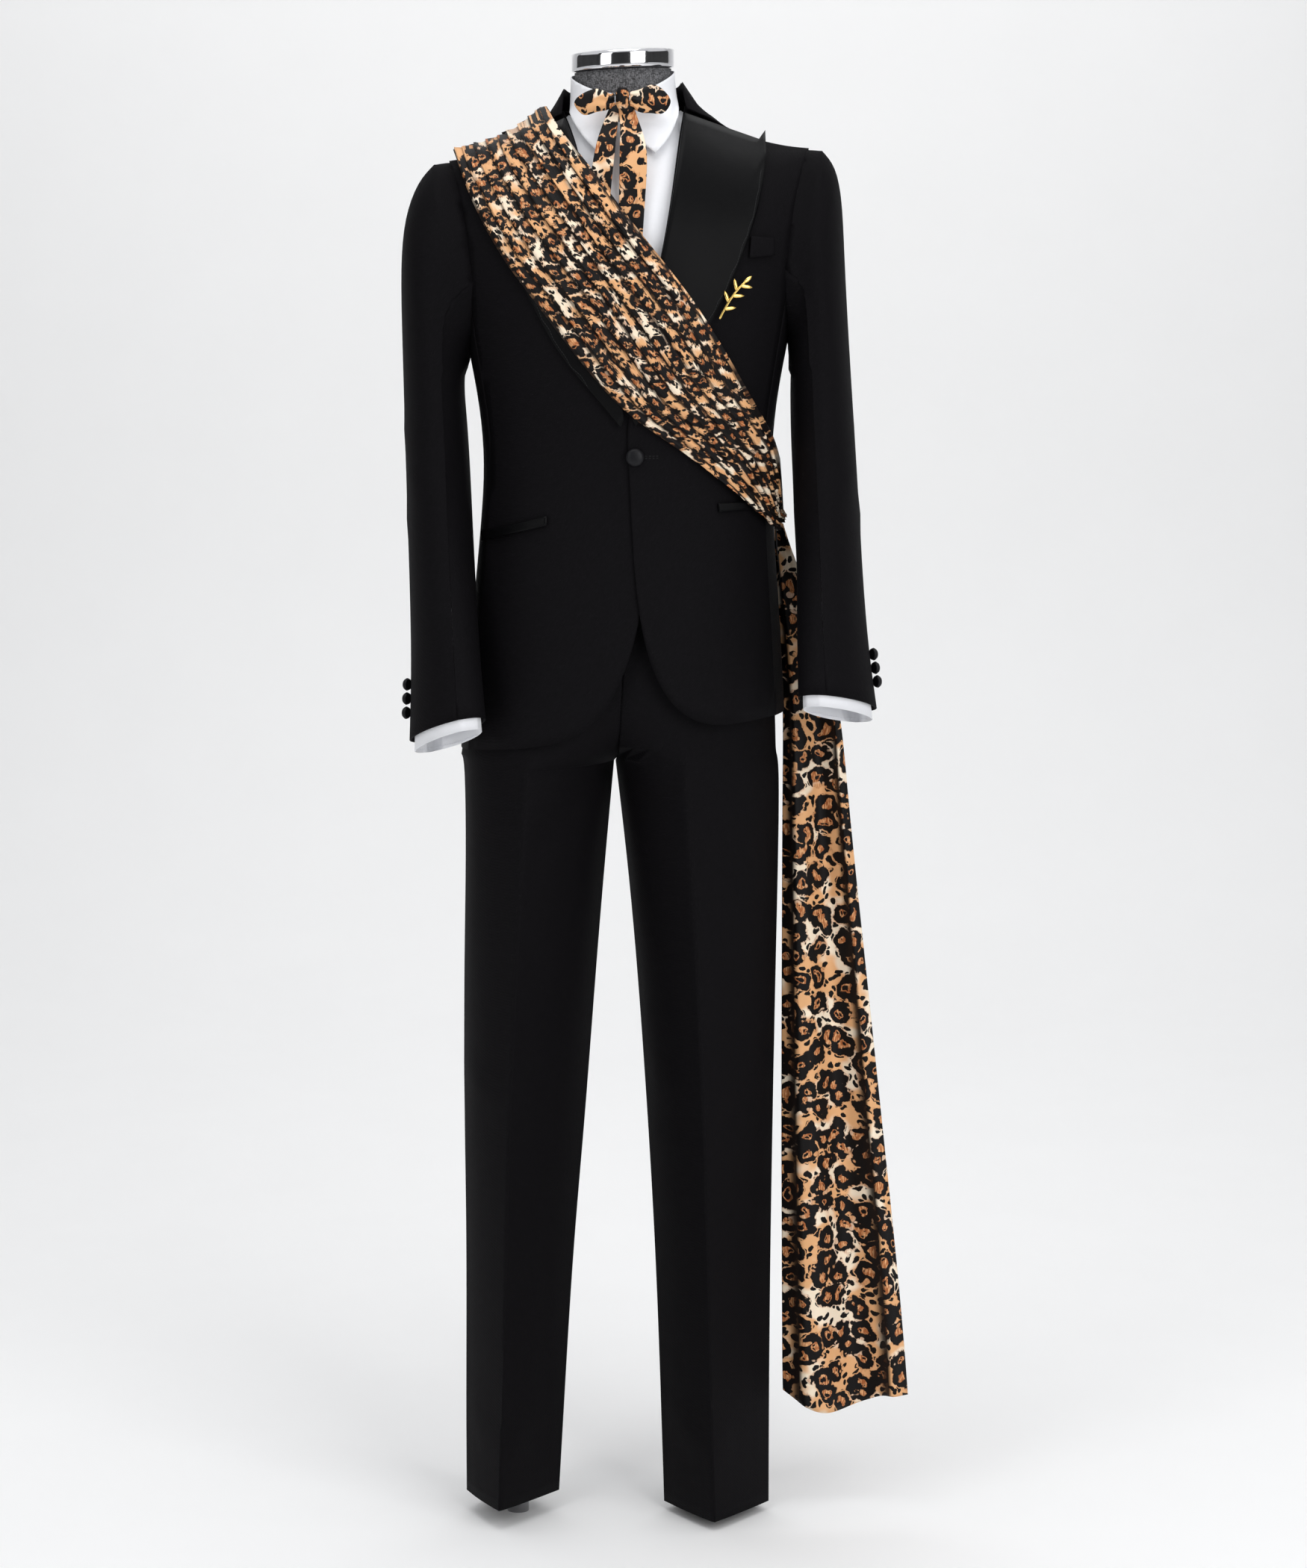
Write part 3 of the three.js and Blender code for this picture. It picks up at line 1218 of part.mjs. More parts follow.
// The widest x of the form at a height, which narrows to the neck above the shoulders.
function formWidth(z) {
  const shoulder = 162;
  let x = Math.min(read(BODY, "half", z) - formInset(z), shoulder) * 0.985;
  while (read(RIDGE, "z", x, "x") - formInset(z) < z + 3 && x > NECK_RADIUS) x -= 1;
  return x;
}
function formTorso() {
  const steps = 12;
  const heights = [945, 1010, 1078, 1145, 1244, 1310, 1383, 1444, 1500, 1520, 1538, 1555, 1570];
  const rings = heights.map((z) => {
    const wide = formWidth(z);
    const ring = [];
    for (const side of [1, -1]) {
      for (let i = 0; i <= steps; i += 1) {
        const s = Math.sin(lerp(-Math.PI / 2, Math.PI / 2, i / steps));
        const x = wide * s * side;
        const inset = formInset(z);
        const p = onBody(angleAt(x, z, inset, side), z, inset);
        ring.push(hang(point(Math.sign(x) * Math.min(Math.abs(x), Math.abs(p.x)), p.y, z)));
      }
    }
    return ring;
  });
  const count = rings[0].length;
  const neck = [
    { z: 1588, r: NECK_RADIUS - 3 },
    { z: 1602, r: NECK_RADIUS - 1 },
    { z: 1640.1, r: NECK_RADIUS - 1 },
  ];
  for (const { z, r } of neck) {
    const ring = [];
    for (let i = 0; i < count; i += 1) {
      const a = lerp(-Math.PI / 2, Math.PI / 2, (i % (steps + 1)) / steps) + (i > steps ? Math.PI : 0);
      const nudge = i > steps ? 0.03 : -0.03;
      ring.push(collarPoint(a + (i % (steps + 1) === 0 ? -nudge : 0), r, z));
    }
    rings.push(ring);
  }
  ringSolid("form_torso", rings, "linen");
}
formTorso();

// A short disc or tube about an upright axis, tilted with the neck.
function capSolid() {
  const steps = 30;
  const profile = [
    { r: CAP.radius - 2, z: CAP.bottom },
    { r: CAP.radius, z: CAP.bottom + 1.5 },
    { r: CAP.radius, z: CAP.top - 2 },
    { r: CAP.radius - 3, z: CAP.top },
  ];
  const rings = profile.map(({ r, z }) =>
    Array.from({ length: steps }, (_, i) => collarPoint((i / steps) * 2 * Math.PI, r, z)),
  );
  ringSolid("form_neck_cap", rings, "chrome");
}
capSolid();

const circle = (x, y, r, z, steps) =>
  Array.from({ length: steps }, (_, i) => {
    const a = (i / steps) * 2 * Math.PI;
    return point(x + r * Math.cos(a), y + r * Math.sin(a), z);
  });
const torsoUnder = TORSO_FOOT + read(POSTURE, "lean", TORSO_FOOT) * (POLE.x - POLE.radius);
ringSolid(
  "form_pole",
  [BASE.height + SEAM_GAP, torsoUnder - 0.4].map((z) => circle(POLE.x, POLE.y, POLE.radius, z, 20)),
  "chrome",
);
ringSolid(
  "form_base",
  [
    circle(0, 0, BASE.radius, 0, 48),
    circle(0, 0, BASE.radius, BASE.height - BASE.edge, 48),
    circle(0, 0, BASE.radius - BASE.edge, BASE.height, 48),
  ],
  "chrome",
);

// The brooch: a leaf sprig, its stem and leaves joined into one piece

const toSolid = (geometry) => {
  const merged = solidGeometry(geometry);
  return new wasm.Manifold(
    new wasm.Mesh({
      numProp: 3,
      vertProperties: merged.attributes.position.array,
      triVerts: new Uint32Array(merged.index.array),
    }),
  );
};
function sprig() {
  const length = 46;
  const stemSize = 1.3;
  const curve = new THREE.QuadraticBezierCurve3(
    point(0, 0, 0),
    point(length * 0.3, 0, length * 0.6),
    point(length * 0.62, 0, length * 0.86),
  );
  const section = new THREE.Shape(
    Array.from({ length: 6 }, (_, i) => {
      const a = (i / 6) * 2 * Math.PI;
      return new THREE.Vector2(stemSize * Math.cos(a), stemSize * Math.sin(a));
    }),
  );
  let whole = toSolid(new THREE.ExtrudeGeometry(section, { steps: 6, bevelEnabled: false, extrudePath: curve }));
  const leaves = [0.2, 0.36, 0.52, 0.68, 0.84, 1].map((at, i) => ({ at, side: i % 2 ? 1 : -1, last: i === 5 }));
  for (const { at, side, last } of leaves) {
    const leaf = new THREE.SphereGeometry(1, 6, 4);
    leaf.scale(last ? 6 : 7, 1.5, 2.6);
    leaf.translate(last ? 4 : 6.2, 0, 0);
    const stem = curve.getTangent(at);
    const heading = Math.atan2(stem.z, stem.x) + (last ? 0 : side * rad(52));
    leaf.rotateY(-heading);
    const p = curve.getPoint(at);
    leaf.translate(p.x, p.y, p.z);
    whole = whole.add(toSolid(leaf));
  }
  const mesh = whole.getMesh();
  return indexed(Array.from(mesh.vertProperties), Array.from(mesh.triVerts));
}
const BROOCH_OFF = 1.9; // the middle of the pin above the lapel
const broochFoot = upright(104, 1371);
const broochAngle = angleAt(broochFoot.x, broochFoot.z);
const broochGeometry = sprig();
broochGeometry.rotateZ(Math.atan2(bodyNormal(broochAngle, broochFoot.z, 0).x, 1) * 0.8);
const broochAt = hang(offBody(broochFoot.x, broochFoot.z, LAPEL_OFF + BROOCH_OFF));
broochGeometry.translate(broochAt.x, broochAt.y, broochAt.z);
addMesh("brooch", broochGeometry, "gold");

export default suit;
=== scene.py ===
"""A black evening suit with a printed bow and sash, dressed on a tailor's form.

Metres, +Z up, front to -Y.
"""

from math import radians

import bmesh
import bpy
import numpy as np
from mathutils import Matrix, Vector
from mathutils.bvhtree import BVHTree
from mathutils.kdtree import KDTree


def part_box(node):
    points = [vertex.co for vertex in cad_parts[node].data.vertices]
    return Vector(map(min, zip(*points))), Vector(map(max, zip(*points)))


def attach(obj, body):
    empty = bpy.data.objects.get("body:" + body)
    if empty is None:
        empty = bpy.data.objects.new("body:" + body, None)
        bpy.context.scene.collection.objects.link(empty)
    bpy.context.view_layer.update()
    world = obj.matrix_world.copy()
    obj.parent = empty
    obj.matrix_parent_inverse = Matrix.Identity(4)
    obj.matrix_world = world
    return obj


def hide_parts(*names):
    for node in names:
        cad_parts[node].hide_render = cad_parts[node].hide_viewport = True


bl_info = {
    "name": "Evening suit on a form",
    "version": (1, 0, 0),
    "blender": (4, 5, 0),
    "location": "3D View > Sidebar > Suit",
    "description": "Dresses the suit's solids in cloth and sets up its floor, lights and camera",
    "category": "Object",
}

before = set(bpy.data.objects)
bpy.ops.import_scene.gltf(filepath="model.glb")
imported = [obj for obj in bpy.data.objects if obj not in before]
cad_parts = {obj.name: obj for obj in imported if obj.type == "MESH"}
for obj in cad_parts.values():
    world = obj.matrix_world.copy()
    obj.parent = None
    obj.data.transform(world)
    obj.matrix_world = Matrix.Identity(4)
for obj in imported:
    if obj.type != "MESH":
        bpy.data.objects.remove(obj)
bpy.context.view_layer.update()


# Sizes and colours


def length(name, description, value):
    """A length in metres that a user can set."""
    return bpy.props.FloatProperty(
        name=name, description=description, default=value, unit="LENGTH"
    )


def tint(name, description, value):
    """A colour that a user can set."""
    return bpy.props.FloatVectorProperty(
        name=name, description=description, subtype="COLOR", size=3, default=value
    )


class SuitSizes(bpy.types.PropertyGroup):
    """The sizes that a user would change"""

    fold_depth: bpy.props.FloatProperty(
        name="Fold depth",
        description="How deep the folds of the suit's cloth are, against the usual 1",
        default=1.0,
        min=0.0,
        max=2.0,
    )
    weave: length("Weave", "Distance between two ribs of the suit's wool", 0.0016)
    spot: length("Spot", "Distance between two spots of the printed cloth", 0.0255)
    stitch: length("Stitch", "Length of one stitch and its gap", 0.0032)


class SuitColours(bpy.types.PropertyGroup):
    """The colours that a user would change"""

    wool: tint("Wool", "Colour of the suit's wool", (0.0030, 0.0027, 0.0033))
    satin: tint("Satin", "Colour of the lapels and pocket edges", (0.0022, 0.0022, 0.0025))
    shirt: tint("Shirt", "Colour of the shirt", (0.91, 0.92, 0.955))
    ground: tint("Print ground", "Colour between the spots of the print", (0.80, 0.44, 0.21))
    pale: tint("Print light", "Colour of the pale places in the print", (0.95, 0.81, 0.63))
    rust: tint("Print rust", "Colour inside the spots of the print", (0.40, 0.125, 0.04))


# Mesh helpers


# Points of a solid that are closer than this are one point, in metres
MERGE_DISTANCE = 2e-5


def new_object(name, data):
    """Puts a mesh, a lamp or a camera into the scene."""
    made = bpy.data.objects.new(name, data)
    bpy.context.scene.collection.objects.link(made)
    return made


def copy_of(node, name, levels, sharp=45):
    """A finer copy of a solid: its doubles merged, its triangles paired and its corners kept."""
    mesh = bmesh.new()
    mesh.from_mesh(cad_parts[node].data)
    bmesh.ops.remove_doubles(mesh, verts=mesh.verts, dist=MERGE_DISTANCE)
    bmesh.ops.join_triangles(
        mesh,
        faces=mesh.faces,
        angle_face_threshold=radians(35),
        angle_shape_threshold=radians(60),
    )
    crease = mesh.edges.layers.float.new("crease_edge")
    for edge in mesh.edges:
        if len(edge.link_faces) == 2 and edge.calc_face_angle(0) > radians(sharp):
            edge[crease] = 1.0
    data = bpy.data.meshes.new(name)
    mesh.to_mesh(data)
    mesh.free()
    piece = new_object(name, data)
    finer = piece.modifiers.new("Finer", "SUBSURF")
    finer.levels = finer.render_levels = levels
    return applied(piece)


def applied(piece):
    """The same object with its modifiers made part of a plain mesh."""
    evaluated = piece.evaluated_get(bpy.context.evaluated_depsgraph_get())
    data = bpy.data.meshes.new_from_object(evaluated)
    piece.modifiers.clear()
    old, piece.data = piece.data, data
    bpy.data.meshes.remove(old)
    return piece


def smoothed(piece, sharp=50):
    piece.data.shade_smooth()
    piece.data.set_sharp_from_angle(angle=radians(sharp))
    return piece


def points_of(piece):
    found = np.empty(len(piece.data.vertices) * 3, np.float32)
    piece.data.vertices.foreach_get("co", found)
    return found.reshape(-1, 3).astype(float)


def put_points(piece, points):
    piece.data.vertices.foreach_set("co", points.astype(np.float32).ravel())
    piece.data.update()


def middle_line(nodes, step=0.03):
    """The middle of some solids at each height, so that folds move all layers the same way."""
    points = np.concatenate([points_of(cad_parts[n]) for n in nodes])
    heights = np.arange(points[:, 2].min(), points[:, 2].max() + step, step)
    middles = []
    for z in heights:
        near = points[np.abs(points[:, 2] - z) < step * 1.5]
        middles.append((near.min(0) + near.max(0)) / 2 if len(near) else middles[-1])
    middles = np.array(middles)
    return heights, middles[:, 0], middles[:, 1]


def outward(points, line):
    """The level direction from a middle line to each point."""
    heights, xs, ys = line
    x, y, z = points.T
    across = x - np.interp(z, heights, xs)
    deep = y - np.interp(z, heights, ys)
    away = np.stack([across, deep, np.zeros(len(points))], 1)
    return away / np.maximum(np.linalg.norm(away, axis=1, keepdims=True), 1e-6)


def fold(piece, folds, line, depth):
    """Moves a cloth in or out along its folds: a start, an end, a half width and a height."""
    points = points_of(piece)
    away = outward(points, line)
    rise = np.zeros(len(points))
    for start, end, width, height in folds:
        a, b = np.array(start), np.array(end)
        run = b - a
        along = np.clip((points - a) @ run / (run @ run), 0, 1)
        gap = np.linalg.norm(points - (a + along[:, None] * run), axis=1)
        fade = np.sin(np.pi * np.clip(along * 0.8 + 0.1, 0, 1)) ** 0.7
        rise += height * fade * np.exp(-((gap / width) ** 2))
    put_points(piece, points + away * rise[:, None] * depth)
    return piece


def creased(piece, height=0.008, width=0.05, top=0.93):
    """Presses a crease down the front of a trouser leg, where it stands furthest forward."""
    points = points_of(piece)
    levels = np.arange(points[:, 2].min() + 0.03, top, 0.03)
    peaks = []
    for level in levels:
        near = points[np.abs(points[:, 2] - level) < 0.015]
        peaks.append(near[near[:, 1].argmin(), 0])
    crease = np.polyval(np.polyfit(levels, peaks, 2), points[:, 2])
    front = np.clip(-points[:, 1] / 0.02, 0, 1)
    fade = np.clip((top - points[:, 2]) / 0.12, 0, 1)
    near = np.clip(1 - np.abs(points[:, 0] - crease) / width, 0, 1)
    points[:, 1] -= front * fade * height * near**1.5
    put_points(piece, points)
    return piece


def tucked(piece, low, reach=0.007, push=0.0028):
    """Pushes the edge nearest the middle of the body inward, so that its seam shows no light."""
    points = points_of(piece)
    side = np.sign(points[:, 0].mean())
    level = np.round(points[:, 2] / 0.012).astype(int)
    for row in np.unique(level[points[:, 2] > low]):
        here = level == row
        away = points[here, 0] * side
        near = np.clip(1 - (away - away.min()) / reach, 0, 1)
        points[here, 0] -= side * push * near
    put_points(piece, points)
    return piece


def dressed(piece, node, material):
    """Gives a finished piece its material and its place in the frame."""
    piece.data.materials.clear()
    piece.data.materials.append(material)
    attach(piece, "root")
    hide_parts(node)
    return piece


# Materials


class Shade:
    """Makes a material or a node group node by node."""

    def __init__(self, tree):
        self.tree = tree

    def node(self, kind, inputs=(), **settings):
        made = self.tree.nodes.new(kind)
        for key, value in settings.items():
            setattr(made, key, value)
        for socket, value in dict(inputs).items():
            self.feed(made.inputs[socket], value)
        return made

    def feed(self, socket, value):
        if isinstance(value, bpy.types.NodeSocket):
            self.tree.links.new(value, socket)
        else:
            socket.default_value = value

    def sum(self, operation, a, b=0.5, c=0.0):
        made = self.tree.nodes.new("ShaderNodeMath")
        made.operation = operation
        for socket, value in zip(made.inputs, (a, b, c)):
            self.feed(socket, value)
        return made.outputs[0]

    def step(self, value, low, high):
        """0 under low and 1 over high."""
        made = self.node(
            "ShaderNodeMapRange",
            {"Value": value, "From Min": low, "From Max": high},
            interpolation_type="SMOOTHSTEP",
        )
        return made.outputs[0]

    def fall(self, value, low, high):
        """1 under low and 0 over high."""
        return self.sum("SUBTRACT", 1.0, self.step(value, low, high))

    def mix(self, share, a, b):
        made = self.node("ShaderNodeMix", data_type="RGBA")
        self.feed(made.inputs[0], share)
        self.feed(made.inputs[6], a)
        self.feed(made.inputs[7], b)
        return made.outputs[2]

    def noise(self, place, scale, detail=2.0, rough=0.5):
        made = self.node(
            "ShaderNodeTexNoise",
            {"Vector": place, "Scale": scale, "Detail": detail, "Roughness": rough},
        )
        return made.outputs["Fac"]

    def cells(self, place, scale, randomness):
        """How far each place is from the middle of its cell."""
        made = self.node(
            "ShaderNodeTexVoronoi",
            {"Vector": place, "Scale": scale, "Randomness": randomness},
            voronoi_dimensions="2D",
        )
        return made.outputs["Distance"]

    def scaled(self, place, scale):
        return self.node("ShaderNodeMapping", {"Vector": place, "Scale": scale}).outputs[0]

    def bump(self, height, strength, distance, **under):
        """A bump, on the Normal that is given."""
        inputs = {"Height": height, "Strength": strength, "Distance": distance, **under}
        return self.node("ShaderNodeBump", inputs).outputs[0]


def colour(value, share=1.0):
    return (*(c * share for c in value), 1.0)


def new_group(name, inputs, outputs):
    tree = bpy.data.node_groups.new(name, "ShaderNodeTree")
    for label, kind, start in inputs:
        socket = tree.interface.new_socket(
            name=label, in_out="INPUT", socket_type=kind
        )
        if start is not None:
            socket.default_value = start
    for label, kind in outputs:
        tree.interface.new_socket(name=label, in_out="OUTPUT", socket_type=kind)
    shade = Shade(tree)
    entry = tree.nodes.new("NodeGroupInput")
    leave = tree.nodes.new("NodeGroupOutput")
    return tree, shade, entry, leave


def weave_group():
    """Crossed slanting ribs, as in a fine worsted, with the slight unevenness of real yarn."""
    if "Cloth weave" in bpy.data.node_groups:
        return bpy.data.node_groups["Cloth weave"]
    tree, shade, entry, leave = new_group(
        "Cloth weave",
        [
            ("Place", "NodeSocketVector", None),
            ("Ribs per metre", "NodeSocketFloat", 600.0),
            ("Slant", "NodeSocketFloat", 1.0),
        ],
        [("Height", "NodeSocketFloat"), ("Unevenness", "NodeSocketFloat")],
    )
    split = shade.node("ShaderNodeSeparateXYZ", {0: entry.outputs["Place"]})
    across = shade.sum("ADD", split.outputs["X"], split.outputs["Y"])
    per = shade.sum("MULTIPLY", entry.outputs["Ribs per metre"], 6.2832)
    slanted = shade.sum("MULTIPLY", split.outputs["Z"], entry.outputs["Slant"])
    rise = shade.sum("MULTIPLY", shade.sum("ADD", across, slanted), per)
    fall = shade.sum("MULTIPLY", shade.sum("SUBTRACT", across, slanted), per)
    ribs = shade.sum(
        "ADD",
        shade.sum("SINE", rise),
        shade.sum("SINE", shade.sum("MULTIPLY", fall, 0.5)),
    )
    uneven = shade.noise(entry.outputs["Place"], 260.0, 2.0)
    tree.links.new(shade.sum("MULTIPLY_ADD", ribs, 0.25, uneven), leave.inputs["Height"])
    tree.links.new(uneven, leave.inputs["Unevenness"])
    return tree


def rumple_group():
    """Low soft waves, as cloth has where it has been pressed and worn."""
    if "Cloth rumple" in bpy.data.node_groups:
        return bpy.data.node_groups["Cloth rumple"]
    tree, shade, entry, leave = new_group(
        "Cloth rumple",
        [("Place", "NodeSocketVector", None), ("Waves per metre", "NodeSocketFloat", 8.0)],
        [("Height", "NodeSocketFloat")],
    )
    stretched = shade.scaled(entry.outputs["Place"], (1.0, 1.0, 0.35))
    waves = shade.noise(stretched, entry.outputs["Waves per metre"], 3.0, 0.45)
    tree.links.new(waves, leave.inputs["Height"])
    return tree


def new_material(name):
    material = bpy.data.materials.new(name)
    material.use_nodes = True
    shade = Shade(material.node_tree)
    shader = material.node_tree.nodes["Principled BSDF"]
    place = shade.node("ShaderNodeTexCoord").outputs["Object"]
    return material, shade, shader, place


def set_shader(shader, **values):
    for label, value in values.items():
        shader.inputs[label.replace("_", " ")].default_value = value


def weave_and_rumple(shade, place, ribs, waves, slant=1.0, deep=1.0, soft=1.0):
    """The two bumps of a cloth, one on the other."""
    weave = shade.node("ShaderNodeGroup", node_tree=weave_group())
    rumple = shade.node("ShaderNodeGroup", node_tree=rumple_group())
    for made in (weave, rumple):
        shade.feed(made.inputs["Place"], place)
    weave.inputs["Ribs per metre"].default_value = ribs
    weave.inputs["Slant"].default_value = slant
    rumple.inputs["Waves per metre"].default_value = waves
    low = shade.bump(rumple.outputs["Height"], 0.6, 0.006 * soft)
    high = shade.bump(weave.outputs["Height"], 0.5, 0.0004 * deep, Normal=low)
    return high, weave.outputs["Unevenness"]


def finished(shade, shader, base, rough, normal=None):
    """Feeds the colour, the roughness (a varying value, its share and its least) and the bump."""
    shade.feed(shader.inputs["Base Color"], base)
    shade.feed(shader.inputs["Roughness"], shade.sum("MULTIPLY_ADD", *rough))
    if normal is not None:
        shade.feed(shader.inputs["Normal"], normal)


def wool_material(colours, sizes):
    material, shade, shader, place = new_material("black_wool")
    normal, uneven = weave_and_rumple(shade, place, 1 / sizes.weave, 7.0)
    base = shade.mix(uneven, colour(colours.wool), colour(colours.wool, 1.9))
    finished(shade, shader, base, (uneven, 0.12, 0.66), normal)
    set_shader(shader, Specular_IOR_Level=0.06)
    return material


def satin_material(colours):
    material, shade, shader, place = new_material("black_satin")
    normal, uneven = weave_and_rumple(shade, place, 2000.0, 9.0, slant=0.15, deep=0.3)
    base = shade.mix(uneven, colour(colours.satin), colour(colours.satin, 1.5))
    finished(shade, shader, base, (uneven, 0.08, 0.27), normal)
    set_shader(shader, Specular_IOR_Level=0.08, Anisotropic=0.3)
    return material


def cotton_material(colours):
    material, shade, shader, place = new_material("white_cotton")
    normal, uneven = weave_and_rumple(shade, place, 1500.0, 14.0, deep=0.3, soft=0.4)
    base = shade.mix(uneven, colour(colours.shirt, 0.96), colour(colours.shirt))
    finished(shade, shader, base, (uneven, 0.1, 0.6), normal)
    set_shader(shader, Specular_IOR_Level=0.3, Sheen_Weight=0.15)
    return material


def print_material(colours, sizes):
    """Black rosettes with rust middles on a tan ground that pales in places."""
    material, shade, shader, place = new_material("leopard_crepe")
    # The cloth's own attribute: two lengths along and across it, and which pleat it is in; the
    # pleat's fraction also places the painted shade at each pleat's edges
    on_cloth = shade.node("ShaderNodeAttribute", attribute_name="on_cloth").outputs["Vector"]
    parts = shade.node("ShaderNodeSeparateXYZ", {0: on_cloth})
    pleat = shade.sum("FLOOR", parts.outputs["Z"])
    share = shade.sum("FRACT", parts.outputs["Z"])
    turned = shade.node(
        "ShaderNodeCombineXYZ",
        {
            0: shade.sum("MULTIPLY_ADD", pleat, 0.013, parts.outputs["X"]),
            1: shade.sum("MULTIPLY_ADD", pleat, 0.0073, parts.outputs["Y"]),
        },
    ).outputs[0]
    spots_per = 1 / sizes.spot
    spread = shade.scaled(turned, (spots_per, spots_per * 0.9, 1.0))
    bend = shade.node("ShaderNodeTexNoise", {"Vector": spread, "Scale": 1.1, "Detail": 1.5})
    shift = shade.node(
        "ShaderNodeVectorMath",
        {0: bend.outputs["Color"], 1: (0.5, 0.5, 0.5)},
        operation="SUBTRACT",
    )
    warped = shade.node(
        "ShaderNodeVectorMath",
        {0: shift.outputs[0], 1: (0.9, 0.9, 0.0), 2: spread},
        operation="MULTIPLY_ADD",
    ).outputs[0]
    rough = shade.sum("SUBTRACT", shade.noise(spread, 3.6, 2.5, 0.55), 0.5)
    gap = shade.sum("MULTIPLY_ADD", rough, 0.42, shade.cells(warped, 1.0, 0.72))
    # A broken black ring round each spot
    ring = shade.sum("MULTIPLY", shade.step(gap, 0.165, 0.185), shade.fall(gap, 0.445, 0.465))
    breaks = shade.step(shade.noise(spread, 1.9, 1.0), 0.32, 0.35)
    ring = shade.sum("MULTIPLY", ring, breaks)
    # Black flecks between the rings and in the middle of some spots
    fleck_gap = shade.sum("MULTIPLY_ADD", rough, 0.5, shade.cells(warped, 2.6, 0.85))
    dot = shade.fall(fleck_gap, 0.29, 0.33)
    apart = shade.sum("MAXIMUM", shade.step(gap, 0.49, 0.53), shade.fall(gap, 0.10, 0.13))
    black = shade.sum("MAXIMUM", ring, shade.sum("MULTIPLY", dot, apart))
    hair = shade.noise(shade.scaled(turned, (700.0, 150.0, 1.0)), 1.0, 2.0)
    pale = shade.step(shade.noise(turned, 21.0, 2.0), 0.48, 0.57)
    ground = shade.mix(pale, colour(colours.ground), colour(colours.pale))
    hairy = shade.step(hair, 0.42, 0.66)
    rust = shade.mix(hairy, colour(colours.rust), colour(colours.ground))
    middle = shade.fall(gap, 0.2, 0.3)
    halo = shade.sum("MULTIPLY", shade.fall(gap, 0.45, 0.53), 0.55)
    under = shade.mix(shade.sum("MAXIMUM", middle, halo), ground, rust)
    printed = shade.mix(black, under, (0.006, 0.005, 0.005, 1.0))
    # Painted shade: each pleat is darkened where it goes under the next and where it comes out, in
    # place of the shadow of the band above
    painted_pleat_shade = shade.sum(
        "MAXIMUM",
        shade.sum("MULTIPLY", shade.step(share, 0.72, 0.98), 0.96),
        shade.fall(share, 0.0, 0.10),
    )
    # Painted shade: the printed colour is mixed toward a near-black brown at each pleat's edges
    base = shade.mix(painted_pleat_shade, printed, (0.010, 0.006, 0.005, 1.0))
    normal, uneven = weave_and_rumple(shade, place, 1800.0, 20.0, deep=0.25, soft=0.3)
    finished(shade, shader, base, (uneven, 0.1, 0.45), normal)
    set_shader(shader, Specular_IOR_Level=0.15)
    return material


def linen_material():
    material, shade, shader, place = new_material("grey_linen")
    threads = shade.sum(
        "MULTIPLY",
        shade.noise(shade.scaled(place, (1.0, 1.0, 0.3)), 1100.0, 2.0, 0.7),
        shade.noise(shade.scaled(place, (0.3, 0.3, 1.0)), 900.0, 2.0, 0.7),
    )
    share = shade.step(threads, 0.14, 0.36)
    base = shade.mix(share, (0.028, 0.028, 0.03, 1), (0.19, 0.19, 0.2, 1))
    finished(shade, shader, base, (threads, 0.2, 0.8), shade.bump(threads, 0.5, 0.0006))
    return material


def metal_material(name, shine, rough):
    material, shade, shader, place = new_material(name)
    wear = shade.noise(place, 30.0, 4.0, 0.6)
    base = shade.mix(wear, colour(shine), colour(shine, 0.9))
    finished(shade, shader, base, (wear, 0.08, rough))
    set_shader(shader, Metallic=1.0)
    return material


def button_material():
    material, shade, shader, place = new_material("black_button")
    grain = shade.noise(place, 900.0, 2.0)
    base = shade.mix(grain, (0.006, 0.006, 0.007, 1), (0.012, 0.012, 0.014, 1))
    finished(shade, shader, base, (grain, 0.15, 0.3), shade.bump(grain, 0.3, 0.0003))
    set_shader(shader, Specular_IOR_Level=0.16)
    return material


def thread_material(name, dye):
    material, shade, shader, place = new_material(name)
    twist = shade.noise(place, 2500.0, 2.0)
    base = shade.mix(twist, colour(dye), colour(dye, 0.8))
    finished(shade, shader, base, (twist, 0.1, 0.55))
    return material


def material(name):
    """The named material, made the first time that it is asked for."""
    if name in bpy.data.materials:
        return bpy.data.materials[name]
    scene = bpy.context.scene
    colours, sizes = scene.suit_colours, scene.suit_sizes
    made = {
        "black_wool": lambda: wool_material(colours, sizes),
        "black_satin": lambda: satin_material(colours),
        "white_cotton": lambda: cotton_material(colours),
        "leopard_crepe": lambda: print_material(colours, sizes),
        "grey_linen": linen_material,
        "neck_chrome": lambda: metal_material("neck_chrome", (0.78, 0.78, 0.8), 0.04),
        "brushed_stand": lambda: metal_material("brushed_stand", (0.6, 0.6, 0.62), 0.22),
        "pin_gold": lambda: metal_material("pin_gold", (0.95, 0.66, 0.2), 0.12),
        "black_button": button_material,
        "black_thread": lambda: thread_material("black_thread", (0.014, 0.014, 0.016)),
        "white_thread": lambda: thread_material("white_thread", (0.8, 0.82, 0.88)),
    }
    return made[name]()


# Stitches


